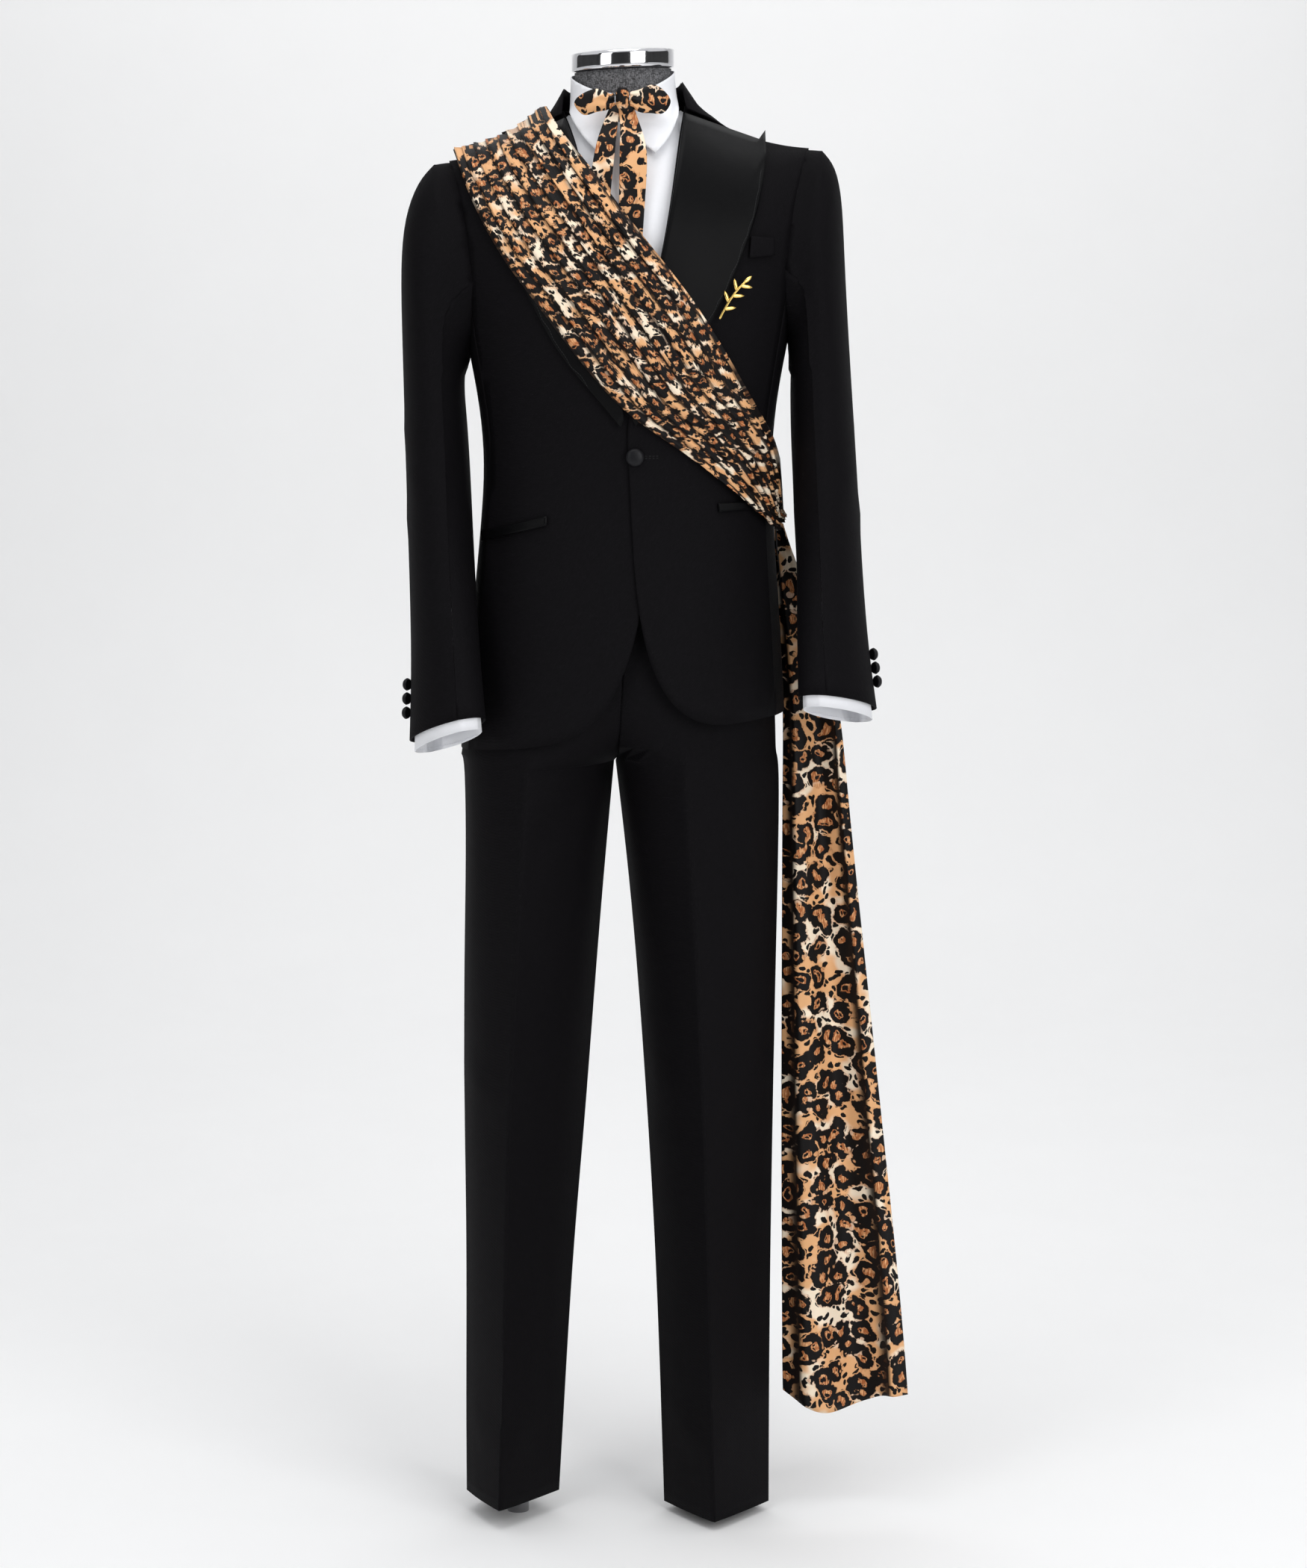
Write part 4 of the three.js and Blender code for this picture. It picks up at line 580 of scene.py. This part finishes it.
def stitch_tree():
    """Geometry nodes that lay short stitches along a line."""
    if "Stitch row" in bpy.data.node_groups:
        return bpy.data.node_groups["Stitch row"]
    tree = bpy.data.node_groups.new("Stitch row", "GeometryNodeTree")
    for label, kind, start in (
        ("Geometry", "NodeSocketGeometry", None),
        ("Spacing", "NodeSocketFloat", 0.0032),
        ("Stitch length", "NodeSocketFloat", 0.0022),
        ("Thread", "NodeSocketFloat", 0.00022),
        ("Material", "NodeSocketMaterial", None),
    ):
        socket = tree.interface.new_socket(name=label, in_out="INPUT", socket_type=kind)
        if start is not None:
            socket.default_value = start
    tree.interface.new_socket(
        name="Geometry", in_out="OUTPUT", socket_type="NodeSocketGeometry"
    )

    def add(kind, **settings):
        made = tree.nodes.new(kind)
        for key, value in settings.items():
            setattr(made, key, value)
        return made

    entry = add("NodeGroupInput")
    leave = add("NodeGroupOutput")
    line = add("GeometryNodeMeshToCurve")
    even = add("GeometryNodeResampleCurve", mode="LENGTH")
    way = add("GeometryNodeInputTangent")
    turn = add("FunctionNodeAlignRotationToVector", axis="Z")
    thread = add("GeometryNodeMeshCylinder")
    thread.inputs["Vertices"].default_value = 5
    place = add("GeometryNodeInstanceOnPoints")
    real = add("GeometryNodeRealizeInstances")
    finish = add("GeometryNodeSetMaterial")
    for start, end in (
        (entry.outputs["Geometry"], line.inputs["Mesh"]),
        (line.outputs["Curve"], even.inputs["Curve"]),
        (entry.outputs["Spacing"], even.inputs["Length"]),
        (even.outputs["Curve"], place.inputs["Points"]),
        (entry.outputs["Stitch length"], thread.inputs["Depth"]),
        (entry.outputs["Thread"], thread.inputs["Radius"]),
        (thread.outputs["Mesh"], place.inputs["Instance"]),
        (way.outputs["Tangent"], turn.inputs["Vector"]),
        (turn.outputs["Rotation"], place.inputs["Rotation"]),
        (place.outputs["Instances"], real.inputs["Geometry"]),
        (real.outputs["Geometry"], finish.inputs["Geometry"]),
        (entry.outputs["Material"], finish.inputs["Material"]),
        (finish.outputs["Geometry"], leave.inputs["Geometry"]),
    ):
        tree.links.new(start, end)
    return tree


# How much of the distance between two stitches is thread, how far they stand off the cloth,
# and how far from its edge they run, in metres
STITCH_SHARE = 0.68
STITCH_LIFT = 0.00012
STITCH_INSET = 0.004


def stitched(name, rows, thread, sizes):
    """One piece of thread stitches along several rows of points."""
    data = bpy.data.meshes.new(name)
    points, edges = [], []
    for row in rows:
        first = len(points)
        points += [tuple(p) for p in row]
        edges += [(first + i, first + i + 1) for i in range(len(row) - 1)]
    data.from_pydata(points, edges, [])
    piece = new_object(name, data)
    rows_made = piece.modifiers.new("Stitches", "NODES")
    rows_made.node_group = tree = stitch_tree()
    inputs = [item for item in tree.interface.items_tree if item.in_out == "INPUT"]
    sockets = {item.name: item.identifier for item in inputs}
    rows_made[sockets["Spacing"]] = sizes.stitch
    rows_made[sockets["Stitch length"]] = sizes.stitch * STITCH_SHARE
    rows_made[sockets["Material"]] = material(thread)
    applied(piece)
    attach(piece, "root")
    return piece


def on_front(piece, path, steps=60):
    """Points of a path of x and z, laid on a piece as seen from the front."""
    tree = BVHTree.FromPolygons(
        [v.co for v in piece.data.vertices], [p.vertices for p in piece.data.polygons]
    )
    path = np.array(path)
    at = np.linspace(0, len(path) - 1, steps)
    xs = np.interp(at, range(len(path)), path[:, 0])
    zs = np.interp(at, range(len(path)), path[:, 1])
    laid = []
    for x, z in zip(xs, zs):
        hit, normal, _, _ = tree.ray_cast(Vector((x, -1, z)), Vector((0, 1, 0)))
        if hit:
            laid.append(hit + normal * STITCH_LIFT)
    return laid


def edge_path(piece, along, way, inset, low, high, count=24):
    """A path of x and z along x (0) or z (1), beside the piece's edge that lies that way."""
    points = points_of(piece)[:, (0, 2)]
    path = []
    for at in np.linspace(low, high, count):
        near = points[np.abs(points[:, along] - at) < 0.0045]
        if len(near):
            edge = way * (way * near[:, 1 - along]).max() - way * inset
            path.append((at, edge) if along == 0 else (edge, at))
    return path


# Folds, set on each group of cloth: start, end, half width and height, in metres

SLEEVE_LEFT_FOLDS = [
    ((0.235, -0.02, 1.245), (0.195, -0.09, 1.215), 0.014, 0.004),
    ((0.255, -0.05, 1.205), (0.205, -0.11, 1.165), 0.016, 0.0045),
    ((0.262, 0.0, 1.16), (0.215, -0.11, 1.125), 0.013, 0.003),
    ((0.20, -0.06, 1.42), (0.215, -0.075, 1.30), 0.016, -0.004),
]
SLEEVE_RIGHT_FOLDS = [
    ((-0.23, -0.02, 1.245), (-0.18, -0.09, 1.215), 0.014, 0.004),
    ((-0.235, -0.05, 1.205), (-0.18, -0.11, 1.165), 0.016, 0.0045),
    ((-0.235, 0.0, 1.16), (-0.18, -0.11, 1.125), 0.013, 0.003),
    ((-0.195, -0.06, 1.42), (-0.20, -0.075, 1.30), 0.016, -0.004),
]
TORSO_FOLDS = [
    ((-0.09, -0.14, 1.36), (-0.10, -0.14, 1.14), 0.012, -0.0022),
    ((0.0, -0.13, 1.235), (-0.09, -0.13, 1.215), 0.016, 0.0022),
    ((0.0, -0.13, 1.225), (0.09, -0.13, 1.20), 0.016, 0.0018),
    ((-0.12, 0.12, 1.52), (-0.10, 0.12, 1.36), 0.02, 0.003),
    ((0.13, 0.12, 1.52), (0.11, 0.12, 1.36), 0.02, 0.003),
    ((-0.12, 0.1, 1.19), (0.13, 0.1, 1.20), 0.022, 0.002),
]
LEG_RIGHT_FOLDS = [
    ((-0.17, -0.03, 0.53), (-0.09, -0.09, 0.50), 0.022, 0.0035),
    ((-0.16, 0.04, 0.56), (-0.10, 0.08, 0.49), 0.022, 0.0035),
    ((-0.03, -0.05, 0.86), (-0.10, -0.09, 0.80), 0.02, -0.003),
    ((-0.16, -0.03, 0.13), (-0.10, -0.08, 0.10), 0.02, 0.003),
]
LEG_LEFT_FOLDS = [
    ((0.05, -0.04, 0.53), (0.13, -0.09, 0.50), 0.022, 0.0035),
    ((0.16, 0.04, 0.56), (0.09, 0.08, 0.49), 0.022, 0.0035),
    ((0.02, -0.05, 0.86), (0.09, -0.09, 0.80), 0.02, -0.003),
    ((0.06, -0.03, 0.13), (0.13, -0.08, 0.10), 0.02, 0.003),
]


# The sash's edges seen from the front, from shoulder to hip: upper x and z, then lower x and z
SASH_EDGES = [
    (-0.073, 1.591, -0.181, 1.549),
    (-0.061, 1.571, -0.173, 1.527),
    (-0.041, 1.543, -0.163, 1.505),
    (-0.010, 1.501, -0.146, 1.470),
    (0.035, 1.444, -0.117, 1.424),
    (0.063, 1.409, -0.089, 1.389),
    (0.091, 1.369, -0.046, 1.330),
    (0.123, 1.313, 0.004, 1.271),
    (0.148, 1.265, 0.059, 1.233),
    (0.165, 1.233, 0.099, 1.200),
    (0.172, 1.195, 0.139, 1.163),
    (0.174, 1.160, 0.162, 1.138),
]
SASH_PLEATS = {"sash_front": 9, "sash_back": 6}
# How far a pleat stands up in metres, and how much larger than the bow's the sash's print is
PLEAT_RISE = 0.0052
SASH_PRINT = 1.25
# Steps in which a place on the sash is looked up
SASH_ALONG, SASH_ACROSS = 161, 61
# Which part of the print each piece of the bow is cut from
BOW_PRINT = {
    "bow_knot": (0.31, 0.02),
    "bow_loop_left": (0.11, 0.07),
    "bow_loop_right": (0.53, 0.05),
    "bow_tail_left": (0.02, 0.21),
    "bow_tail_right": (0.78, 0.33),
}


def sleeve_nodes(side):
    nodes = [f"sleeve_upper_{side}", f"sleeve_under_{side}"]
    return nodes + [f"sleeve_button_{side}_{i}" for i in (1, 2, 3)]


def torso_line():
    return middle_line(["form_torso"])


# The pieces


# The paper from side to side and back: its half width, then y and z of each bend
PAPER_HALF = 9.0
PAPER_BENDS = [(-9.0, 0.0), (2.5, 0.0), (3.2, 0.12), (3.7, 0.6), (3.9, 1.4), (4.0, 7.0)]
# Screens round the stand: name, its angles in degrees, its radius, its lower and upper edge
SCREENS = [
    ("dark_wall", range(-150, -29, 12), 7.5, -0.5, 6.0),
    ("flag_left", range(-215, -148, 11), 5.0, 0.9, 3.4),
    ("flag_right", range(-31, 36, 11), 5.0, 0.9, 3.4),
]
# Lamps: name, place, what it is aimed at, width, height and power
LAMPS = [
    ("lamp_left", (-2.15, -2.75, 2.1), (0.0, 0.0, 1.3), 1.5, 2.6, 26.0),
    ("lamp_right", (2.0, -2.9, 2.1), (0.0, 0.0, 1.2), 2.1, 2.6, 62.0),
    ("lamp_top", (0.0, -0.8, 4.2), (0.0, 0.0, 0.8), 2.6, 2.4, 40.0),
    ("lamp_back", (0.0, 2.2, 3.2), (0.0, 3.6, 0.6), 3.4, 1.0, 26.0),
]


def strip(name, rows):
    """A mesh through rows of two points each."""
    mesh = bpy.data.meshes.new(name)
    faces = [(2 * i, 2 * i + 1, 2 * i + 3, 2 * i + 2) for i in range(len(rows) - 1)]
    mesh.from_pydata([point for row in rows for point in row], [], faces)
    return mesh


def paper_material():
    """Pale paper, painted lighter towards the front, where less light falls on it than on the
    back, so that it looks evenly bright. It is clear from its far side, to hide no view.
    """
    paper, shade, shader, place = new_material("pale_paper")
    grain = shade.noise(place, 6.0, 2.0)
    deep = shade.node("ShaderNodeSeparateXYZ", {0: place}).outputs["Y"]
    # Painted light: the paper's colour is lifted towards the front to make up for the lower light
    # that falls there
    base = shade.mix(
        shade.step(deep, 0.0, 3.0),
        shade.mix(grain, (0.94, 0.94, 0.94, 1), (0.96, 0.96, 0.96, 1)),
        shade.mix(grain, (0.84, 0.84, 0.84, 1), (0.86, 0.86, 0.86, 1)),
    )
    shade.feed(shader.inputs["Base Color"], base)
    set_shader(shader, Roughness=0.9)
    seen_through = shade.node(
        "ShaderNodeMixShader",
        {
            0: shade.node("ShaderNodeNewGeometry").outputs["Backfacing"],
            1: shader.outputs[0],
            2: shade.node("ShaderNodeBsdfTransparent").outputs[0],
        },
    )
    surface = paper.node_tree.nodes["Material Output"].inputs["Surface"]
    shade.feed(surface, seen_through.outputs[0])
    return paper


def drape_material():
    cloth, shade, shader, place = new_material("dark_drape")
    grain = shade.noise(place, 3.0, 2.0)
    base = shade.mix(grain, (0.05, 0.05, 0.05, 1), (0.08, 0.08, 0.08, 1))
    shade.feed(shader.inputs["Base Color"], base)
    set_shader(shader, Roughness=1.0, Specular_IOR_Level=0.0)
    return cloth


def make_floor():
    rows = [((-PAPER_HALF, y, z), (PAPER_HALF, y, z)) for y, z in PAPER_BENDS]
    floor = new_object("floor", strip("floor", rows))
    bend = floor.modifiers.new("Round", "SUBSURF")
    bend.levels = bend.render_levels = 3
    applied(floor)
    floor.data.shade_smooth()
    floor.data.materials.append(paper_material())


def make_screens():
    """Dark screens that the chrome and the satin reflect and that the camera doesn't see."""
    cloth = drape_material()
    for name, angles, radius, low, high in SCREENS:
        turns = [radians(angle) for angle in angles]
        rows = [[(radius * np.cos(a), radius * np.sin(a), z) for z in (low, high)] for a in turns]
        screen = new_object(name, strip(name, rows))
        screen.data.materials.append(cloth)
        screen.visible_camera = False


def make_lights(scene):
    world = bpy.data.worlds.new("studio")
    world.use_nodes = True
    sky = world.node_tree.nodes["Background"]
    sky.inputs["Color"].default_value = (0.97, 0.98, 1.0, 1)
    sky.inputs["Strength"].default_value = 0.75
    scene.world = world
    for name, place, aim, width, height, power in LAMPS:
        light = bpy.data.lights.new(name, "AREA")
        light.shape = "RECTANGLE"
        light.size, light.size_y = width, height
        light.energy = power
        lamp = new_object(name, light)
        lamp.location = place
        way = Vector(aim) - Vector(place)
        lamp.rotation_euler = way.to_track_quat("-Z", "Y").to_euler()


def make_camera(scene):
    view = bpy.data.cameras.new("camera")
    view.sensor_fit = "VERTICAL"
    view.sensor_height = 36.0
    view.lens = 90.857
    view.clip_end = 60.0
    camera = new_object("camera", view)
    camera.location = (0.035, -4.4, 1.4)
    camera.rotation_euler = (radians(82.91), 0.0, 0.0)
    scene.camera = camera
    scene.view_settings.view_transform = "Standard"


class SUIT_OT_stage(bpy.types.Operator):
    """Makes the floor, the lights and the camera"""

    bl_idname = "suit.stage"
    bl_label = "Floor, lights and camera"

    def execute(self, context):
        make_floor()
        make_screens()
        make_lights(context.scene)
        make_camera(context.scene)
        return {"FINISHED"}


class SUIT_OT_jacket(bpy.types.Operator):
    """Makes the jacket's fronts, sides and backs"""

    bl_idname = "suit.jacket"
    bl_label = "Jacket body"

    def execute(self, context):
        line = torso_line()
        depth = context.scene.suit_sizes.fold_depth
        for part in ("front", "side", "back"):
            for side in ("left", "right"):
                node = f"jacket_{part}_{side}"
                piece = fold(copy_of(node, f"cloth_{node}", 2), TORSO_FOLDS, line, depth)
                if part == "back":
                    tucked(piece, 0.0, 0.004, 0.0008)
                dressed(smoothed(piece), node, material("black_wool"))
        return {"FINISHED"}


class SUIT_OT_sleeves(bpy.types.Operator):
    """Makes the jacket's sleeves and their buttons"""

    bl_idname = "suit.sleeves"
    bl_label = "Sleeves"

    def execute(self, context):
        depth = context.scene.suit_sizes.fold_depth
        for side, folds in (("left", SLEEVE_LEFT_FOLDS), ("right", SLEEVE_RIGHT_FOLDS)):
            line = middle_line(sleeve_nodes(side)[:2])
            for node in sleeve_nodes(side):
                piece = fold(copy_of(node, f"cloth_{node}", 2), folds, line, depth)
                button = "button" in node
                if not button:
                    tucked(piece, 1.325)
                finish = material("black_button" if button else "black_wool")
                dressed(smoothed(piece), node, finish)
        return {"FINISHED"}


class SUIT_OT_facings(bpy.types.Operator):
    """Makes the lapels, collar, pocket edges, chest welt and front button"""

    bl_idname = "suit.facings"
    bl_label = "Lapels and pockets"

    def execute(self, context):
        line = torso_line()
        depth = context.scene.suit_sizes.fold_depth
        finishes = {
            "lapel_left": ("black_satin", "satin"),
            "lapel_right": ("black_satin", "satin"),
            "jacket_collar": ("black_wool", "wool"),
            "pocket_jet_left": ("black_satin", "satin"),
            "pocket_jet_right": ("black_satin", "satin"),
            "chest_welt": ("black_wool", "wool"),
            "front_button": ("black_button", "button"),
        }
        for node, (finish, slot) in finishes.items():
            piece = fold(copy_of(node, f"cloth_{node}", 2), TORSO_FOLDS, line, depth)
            if node == "jacket_collar":
                # Its ends lie close on the lapels
                points = points_of(piece)
                points[:, 2] -= 0.003 * np.clip((np.abs(points[:, 0]) - 0.10) / 0.015, 0, 1)
                put_points(piece, points)
            dressed(smoothed(piece), node, material(finish))
        return {"FINISHED"}


class SUIT_OT_trousers(bpy.types.Operator):
    """Makes the creased trousers and their waistband"""

    bl_idname = "suit.trousers"
    bl_label = "Trousers"

    def execute(self, context):
        depth = context.scene.suit_sizes.fold_depth
        for side, folds in (("left", LEG_LEFT_FOLDS), ("right", LEG_RIGHT_FOLDS)):
            nodes = [f"trouser_{part}_{side}" for part in ("front", "back")]
            line = middle_line(nodes)
            for node in nodes:
                front = "front" in node
                piece = copy_of(node, f"cloth_{node}", 3 if front else 2, 32)
                fold(piece, folds, line, depth)
                if front:
                    creased(piece)
                dressed(smoothed(piece), node, material("black_wool"))
        band = smoothed(copy_of("waistband", "cloth_waistband", 1))
        dressed(band, "waistband", material("black_wool"))
        return {"FINISHED"}


class SUIT_OT_shirt(bpy.types.Operator):
    """Makes the shirt with its collar and cuffs"""

    bl_idname = "suit.shirt"
    bl_label = "Shirt"

    def execute(self, context):
        for node in [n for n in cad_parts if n.startswith("shirt_")]:
            hidden = "sleeve" in node or node == "shirt_back"
            piece = smoothed(copy_of(node, f"cloth_{node}", 1 if hidden else 2))
            if "front" in node or hidden:
                # The shirt lies lower on the shoulder, so that it nowhere comes through the jacket
                points = points_of(piece)
                out = np.clip((np.abs(points[:, 0]) - 0.075) / 0.02, 0, 1)
                points[:, 2] -= 0.005 * out * np.clip((points[:, 2] - 1.44) / 0.08, 0, 1)
                put_points(piece, points)
            dressed(piece, node, material("white_cotton"))
        return {"FINISHED"}


class SUIT_OT_sash(bpy.types.Operator):
    """Makes the pleated sash and its long tail"""

    bl_idname = "suit.sash"
    bl_label = "Sash"

    def execute(self, context):
        line = torso_line()
        depth = context.scene.suit_sizes.fold_depth
        for node, count in SASH_PLEATS.items():
            piece = copy_of(node, f"cloth_{node}", 3 if node == "sash_front" else 2)
            pleated(fold(piece, TORSO_FOLDS, line, depth), count, PLEAT_RISE, line)
            dressed(smoothed(piece), node, material("leopard_crepe"))
        tail = smoothed(hanging(copy_of("sash_tail", "cloth_sash_tail", 3)))
        dressed(tail, "sash_tail", material("leopard_crepe"))
        return {"FINISHED"}


def sash_place(points):
    """How far along the sash each point lies, and how far up across it, both 0 to 1."""
    rows = np.array(SASH_EDGES)
    tree = KDTree(SASH_ALONG * SASH_ACROSS)
    shares = []
    for along in np.linspace(0, 1, SASH_ALONG):
        at = along * (len(rows) - 1)
        row = [np.interp(at, range(len(rows)), rows[:, i]) for i in range(4)]
        for across in np.linspace(0, 1, SASH_ACROSS):
            x = row[2] + (row[0] - row[2]) * across
            z = row[3] + (row[1] - row[3]) * across
            tree.insert((x, z, 0.0), len(shares))
            shares.append((along, across))
    tree.balance()
    return np.array([shares[tree.find((p[0], p[2], 0.0))[1]] for p in points])


def sash_lengths(along):
    """How far down the sash these shares lie, and how wide it is there, in metres."""
    rows = np.array(SASH_EDGES)
    steps = np.diff((rows[:, :2] + rows[:, 2:]) / 2, axis=0)
    down = np.concatenate([[0.0], np.cumsum(np.hypot(steps[:, 0], steps[:, 1]))])
    width = np.hypot(rows[:, 0] - rows[:, 2], rows[:, 1] - rows[:, 3])
    at = along * (len(rows) - 1)
    return np.interp(at, range(len(rows)), down), np.interp(at, range(len(rows)), width)


def pleated(piece, count, rise, line):
    """Lays the sash in pleats: each band's lower edge stands up over the band below it."""
    points = points_of(piece)
    along, across = sash_place(points).T
    wander = 0.10 * np.sin(along * 7.0 + across * 5.0)
    wander = wander + 0.06 * np.sin(along * 17.0 + across * 11.0)
    at = across * count + wander * (0.4 + across)
    share = at % 1.0
    rising = np.clip(share / 0.12, 0, 1)
    edge = rising * rising * (3 - 2 * rising)
    height = np.where(share < 0.12, edge, 1 - 0.85 * (share - 0.12) / 0.88)
    ends = np.clip(np.minimum(across, 1 - across) / 0.06, 0, 1)
    put_points(piece, points + outward(points, line) * (rise * height * ends)[:, None])
    down, width = sash_lengths(along)
    # The fraction of each pleat value also places the painted shade at the edges of each pleat
    on_cloth(piece, across * width * SASH_PRINT, down * SASH_PRINT, at)
    return piece


# Shares of the tail's width, and the pleat that the print is in there; where the pleat value nears
# a whole number the print material paints shade along the tail's two folds
TAIL_PLEATS_AND_SHADE = ((0.0, 0.13, 0.30, 0.72, 0.84, 1.0), (0.62, 1.0, 1.5, 1.62, 2.0, 2.5))
# Where the tail's two folds lie, as shares of its width, and how far they stand up
TAIL_FOLDS = ((0.17, 0.0035), (0.88, 0.0045))


def hanging(piece):
    """Gives the sash's tail its two long folds, one near each edge, and stores the pleat values
    that paint shade along them.
    """
    points = points_of(piece)
    x, y, z = points.T
    levels = np.linspace(z.min() + 0.03, z.max() - 0.02, 40)
    near = [x[np.abs(z - level) < 0.02] for level in levels]
    left = np.interp(z, levels, [row.min() for row in near])
    right = np.interp(z, levels, [row.max() for row in near])
    share = (x - left) / np.maximum(right - left, 0.01)
    # Painted shade: these pleat values darken the print in strips along the tail's two folds
    pleat = np.interp(share, *TAIL_PLEATS_AND_SHADE)
    on_cloth(piece, x + 0.2 * y, z, pleat)
    for fold_at, rise in TAIL_FOLDS:
        points[:, 1] -= rise * np.exp(-(((share - fold_at) / 0.05) ** 2))
    put_points(piece, points)
    return piece


def on_cloth(piece, across, along, pleat):
    """Stores where the print lies on a cloth, in metres, and in which pleat, whose edges the print
    material darkens with painted shade.
    """
    place = piece.data.attributes.new("on_cloth", "FLOAT_VECTOR", "POINT")
    values = np.stack([across, along, pleat], 1)
    place.data.foreach_set("vector", values.astype(np.float32).ravel())


def gathered(piece, knot, ridges, rise, reach):
    """Ridges that run out from the knot over both faces of a loop and fade with distance."""
    points = points_of(piece)
    x, y, z = (points - np.array(knot)).T
    away = np.abs(x)
    spread = np.maximum(np.abs(z).max() * np.clip(away / 0.03, 0.35, 1), 1e-4)
    facing = np.clip((y - np.median(y)) / 0.003, -1, 1)
    waves = np.cos(z / spread * ridges + x * 60)
    points[:, 1] += facing * rise * waves * np.exp(-((away / reach) ** 2))
    points[:, 2] += 0.0012 * np.sin(x * 210 + 1.0) * (away > 0.012)
    put_points(piece, points)


class SUIT_OT_bow(bpy.types.Operator):
    """Makes the soft bow and its hanging ends"""

    bl_idname = "suit.bow"
    bl_label = "Bow"

    def execute(self, context):
        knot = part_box("bow_knot")
        for node in [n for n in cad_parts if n.startswith("bow_")]:
            piece = copy_of(node, f"cloth_{node}", 2 if "tail" in node else 3)
            if "loop" in node:
                gathered(piece, knot[0].lerp(knot[1], 0.5), 7.0, 0.0016, 0.03)
            smoothed(piece)
            x, _, z = points_of(piece).T
            across, along = BOW_PRINT[node]
            on_cloth(piece, x + across, z + along, np.full(len(x), 0.5))
            dressed(piece, node, material("leopard_crepe"))
        return {"FINISHED"}


class SUIT_OT_stitches(bpy.types.Operator):
    """Makes the rows of stitches along the lapels, cuffs and buttonhole"""

    bl_idname = "suit.stitches"
    bl_label = "Stitches"

    def execute(self, context):
        black, white = [], []
        for side, way in (("left", 1), ("right", -1)):
            lapel = bpy.data.objects[f"cloth_lapel_{side}"]
            path = edge_path(lapel, 1, way, STITCH_INSET, 1.30, 1.53)
            black.append(on_front(lapel, path, 90))
            cuff = bpy.data.objects[f"cloth_shirt_cuff_{side}"]
            xs = points_of(cuff)[:, 0]
            path = edge_path(cuff, 0, -1, STITCH_INSET, xs.min() + 0.006, xs.max() - 0.006)
            white.append(on_front(cuff, path))
        front = bpy.data.objects["cloth_jacket_front_left"]
        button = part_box("front_button")
        start, level = button[1].x, (button[0].z + button[1].z) / 2
        for off in (-0.0012, 0.0012):
            path = [(start + 0.002, level + off), (start + 0.014, level + off)]
            black.append(on_front(front, path, 12))
        for name, rows, thread, slot in (
            ("lapel_stitches", black, "black_thread", "wool"),
            ("cuff_stitches", white, "white_thread", "cotton"),
        ):
            rows = [row for row in rows if len(row) > 1]
            stitched(name, rows, thread, context.scene.suit_sizes)
        return {"FINISHED"}


class SUIT_OT_pin(bpy.types.Operator):
    """Makes the gold sprig on the lapel"""

    bl_idname = "suit.pin"
    bl_label = "Lapel pin"

    def execute(self, context):
        sprig = smoothed(copy_of("brooch", "gold_sprig", 2))
        dressed(sprig, "brooch", material("pin_gold"))
        return {"FINISHED"}


class SUIT_OT_form(bpy.types.Operator):
    """Makes the dress form: the covered torso, neck cap, pole and base"""

    bl_idname = "suit.form"
    bl_label = "Dress form"

    def execute(self, context):
        finishes = {
            "form_torso": ("grey_linen", "linen"),
            "form_neck_cap": ("neck_chrome", "chrome"),
            "form_pole": ("brushed_stand", "chrome"),
            "form_base": ("brushed_stand", "chrome"),
        }
        for node, (finish, slot) in finishes.items():
            piece = smoothed(copy_of(node, f"stand_{node}", 2))
            dressed(piece, node, material(finish))
        return {"FINISHED"}


class SUIT_PT_panel(bpy.types.Panel):
    """Lists the suit's sizes, colours and pieces"""

    bl_label = "Evening suit"
    bl_idname = "SUIT_PT_panel"
    bl_space_type = "VIEW_3D"
    bl_region_type = "UI"
    bl_category = "Suit"

    def draw(self, context):
        scene = context.scene
        for group in (scene.suit_sizes, scene.suit_colours):
            for name in group.bl_rna.properties.keys():
                if name not in ("rna_type", "name"):
                    self.layout.prop(group, name)
        for piece in PIECES:
            self.layout.operator(piece.bl_idname)


PIECES = (
    SUIT_OT_stage,
    SUIT_OT_form,
    SUIT_OT_shirt,
    SUIT_OT_trousers,
    SUIT_OT_jacket,
    SUIT_OT_sleeves,
    SUIT_OT_facings,
    SUIT_OT_sash,
    SUIT_OT_bow,
    SUIT_OT_stitches,
    SUIT_OT_pin,
)
CLASSES = (SuitSizes, SuitColours, *PIECES, SUIT_PT_panel)


def register():
    for item in CLASSES:
        bpy.utils.register_class(item)
    bpy.types.Scene.suit_sizes = bpy.props.PointerProperty(type=SuitSizes)
    bpy.types.Scene.suit_colours = bpy.props.PointerProperty(type=SuitColours)


def unregister():
    del bpy.types.Scene.suit_colours
    del bpy.types.Scene.suit_sizes
    for item in reversed(CLASSES):
        bpy.utils.unregister_class(item)


def main():
    register()
    for piece in PIECES:
        area, name = piece.bl_idname.split(".")
        getattr(getattr(bpy.ops, area), name)()


if __name__ == "__main__":
    main()
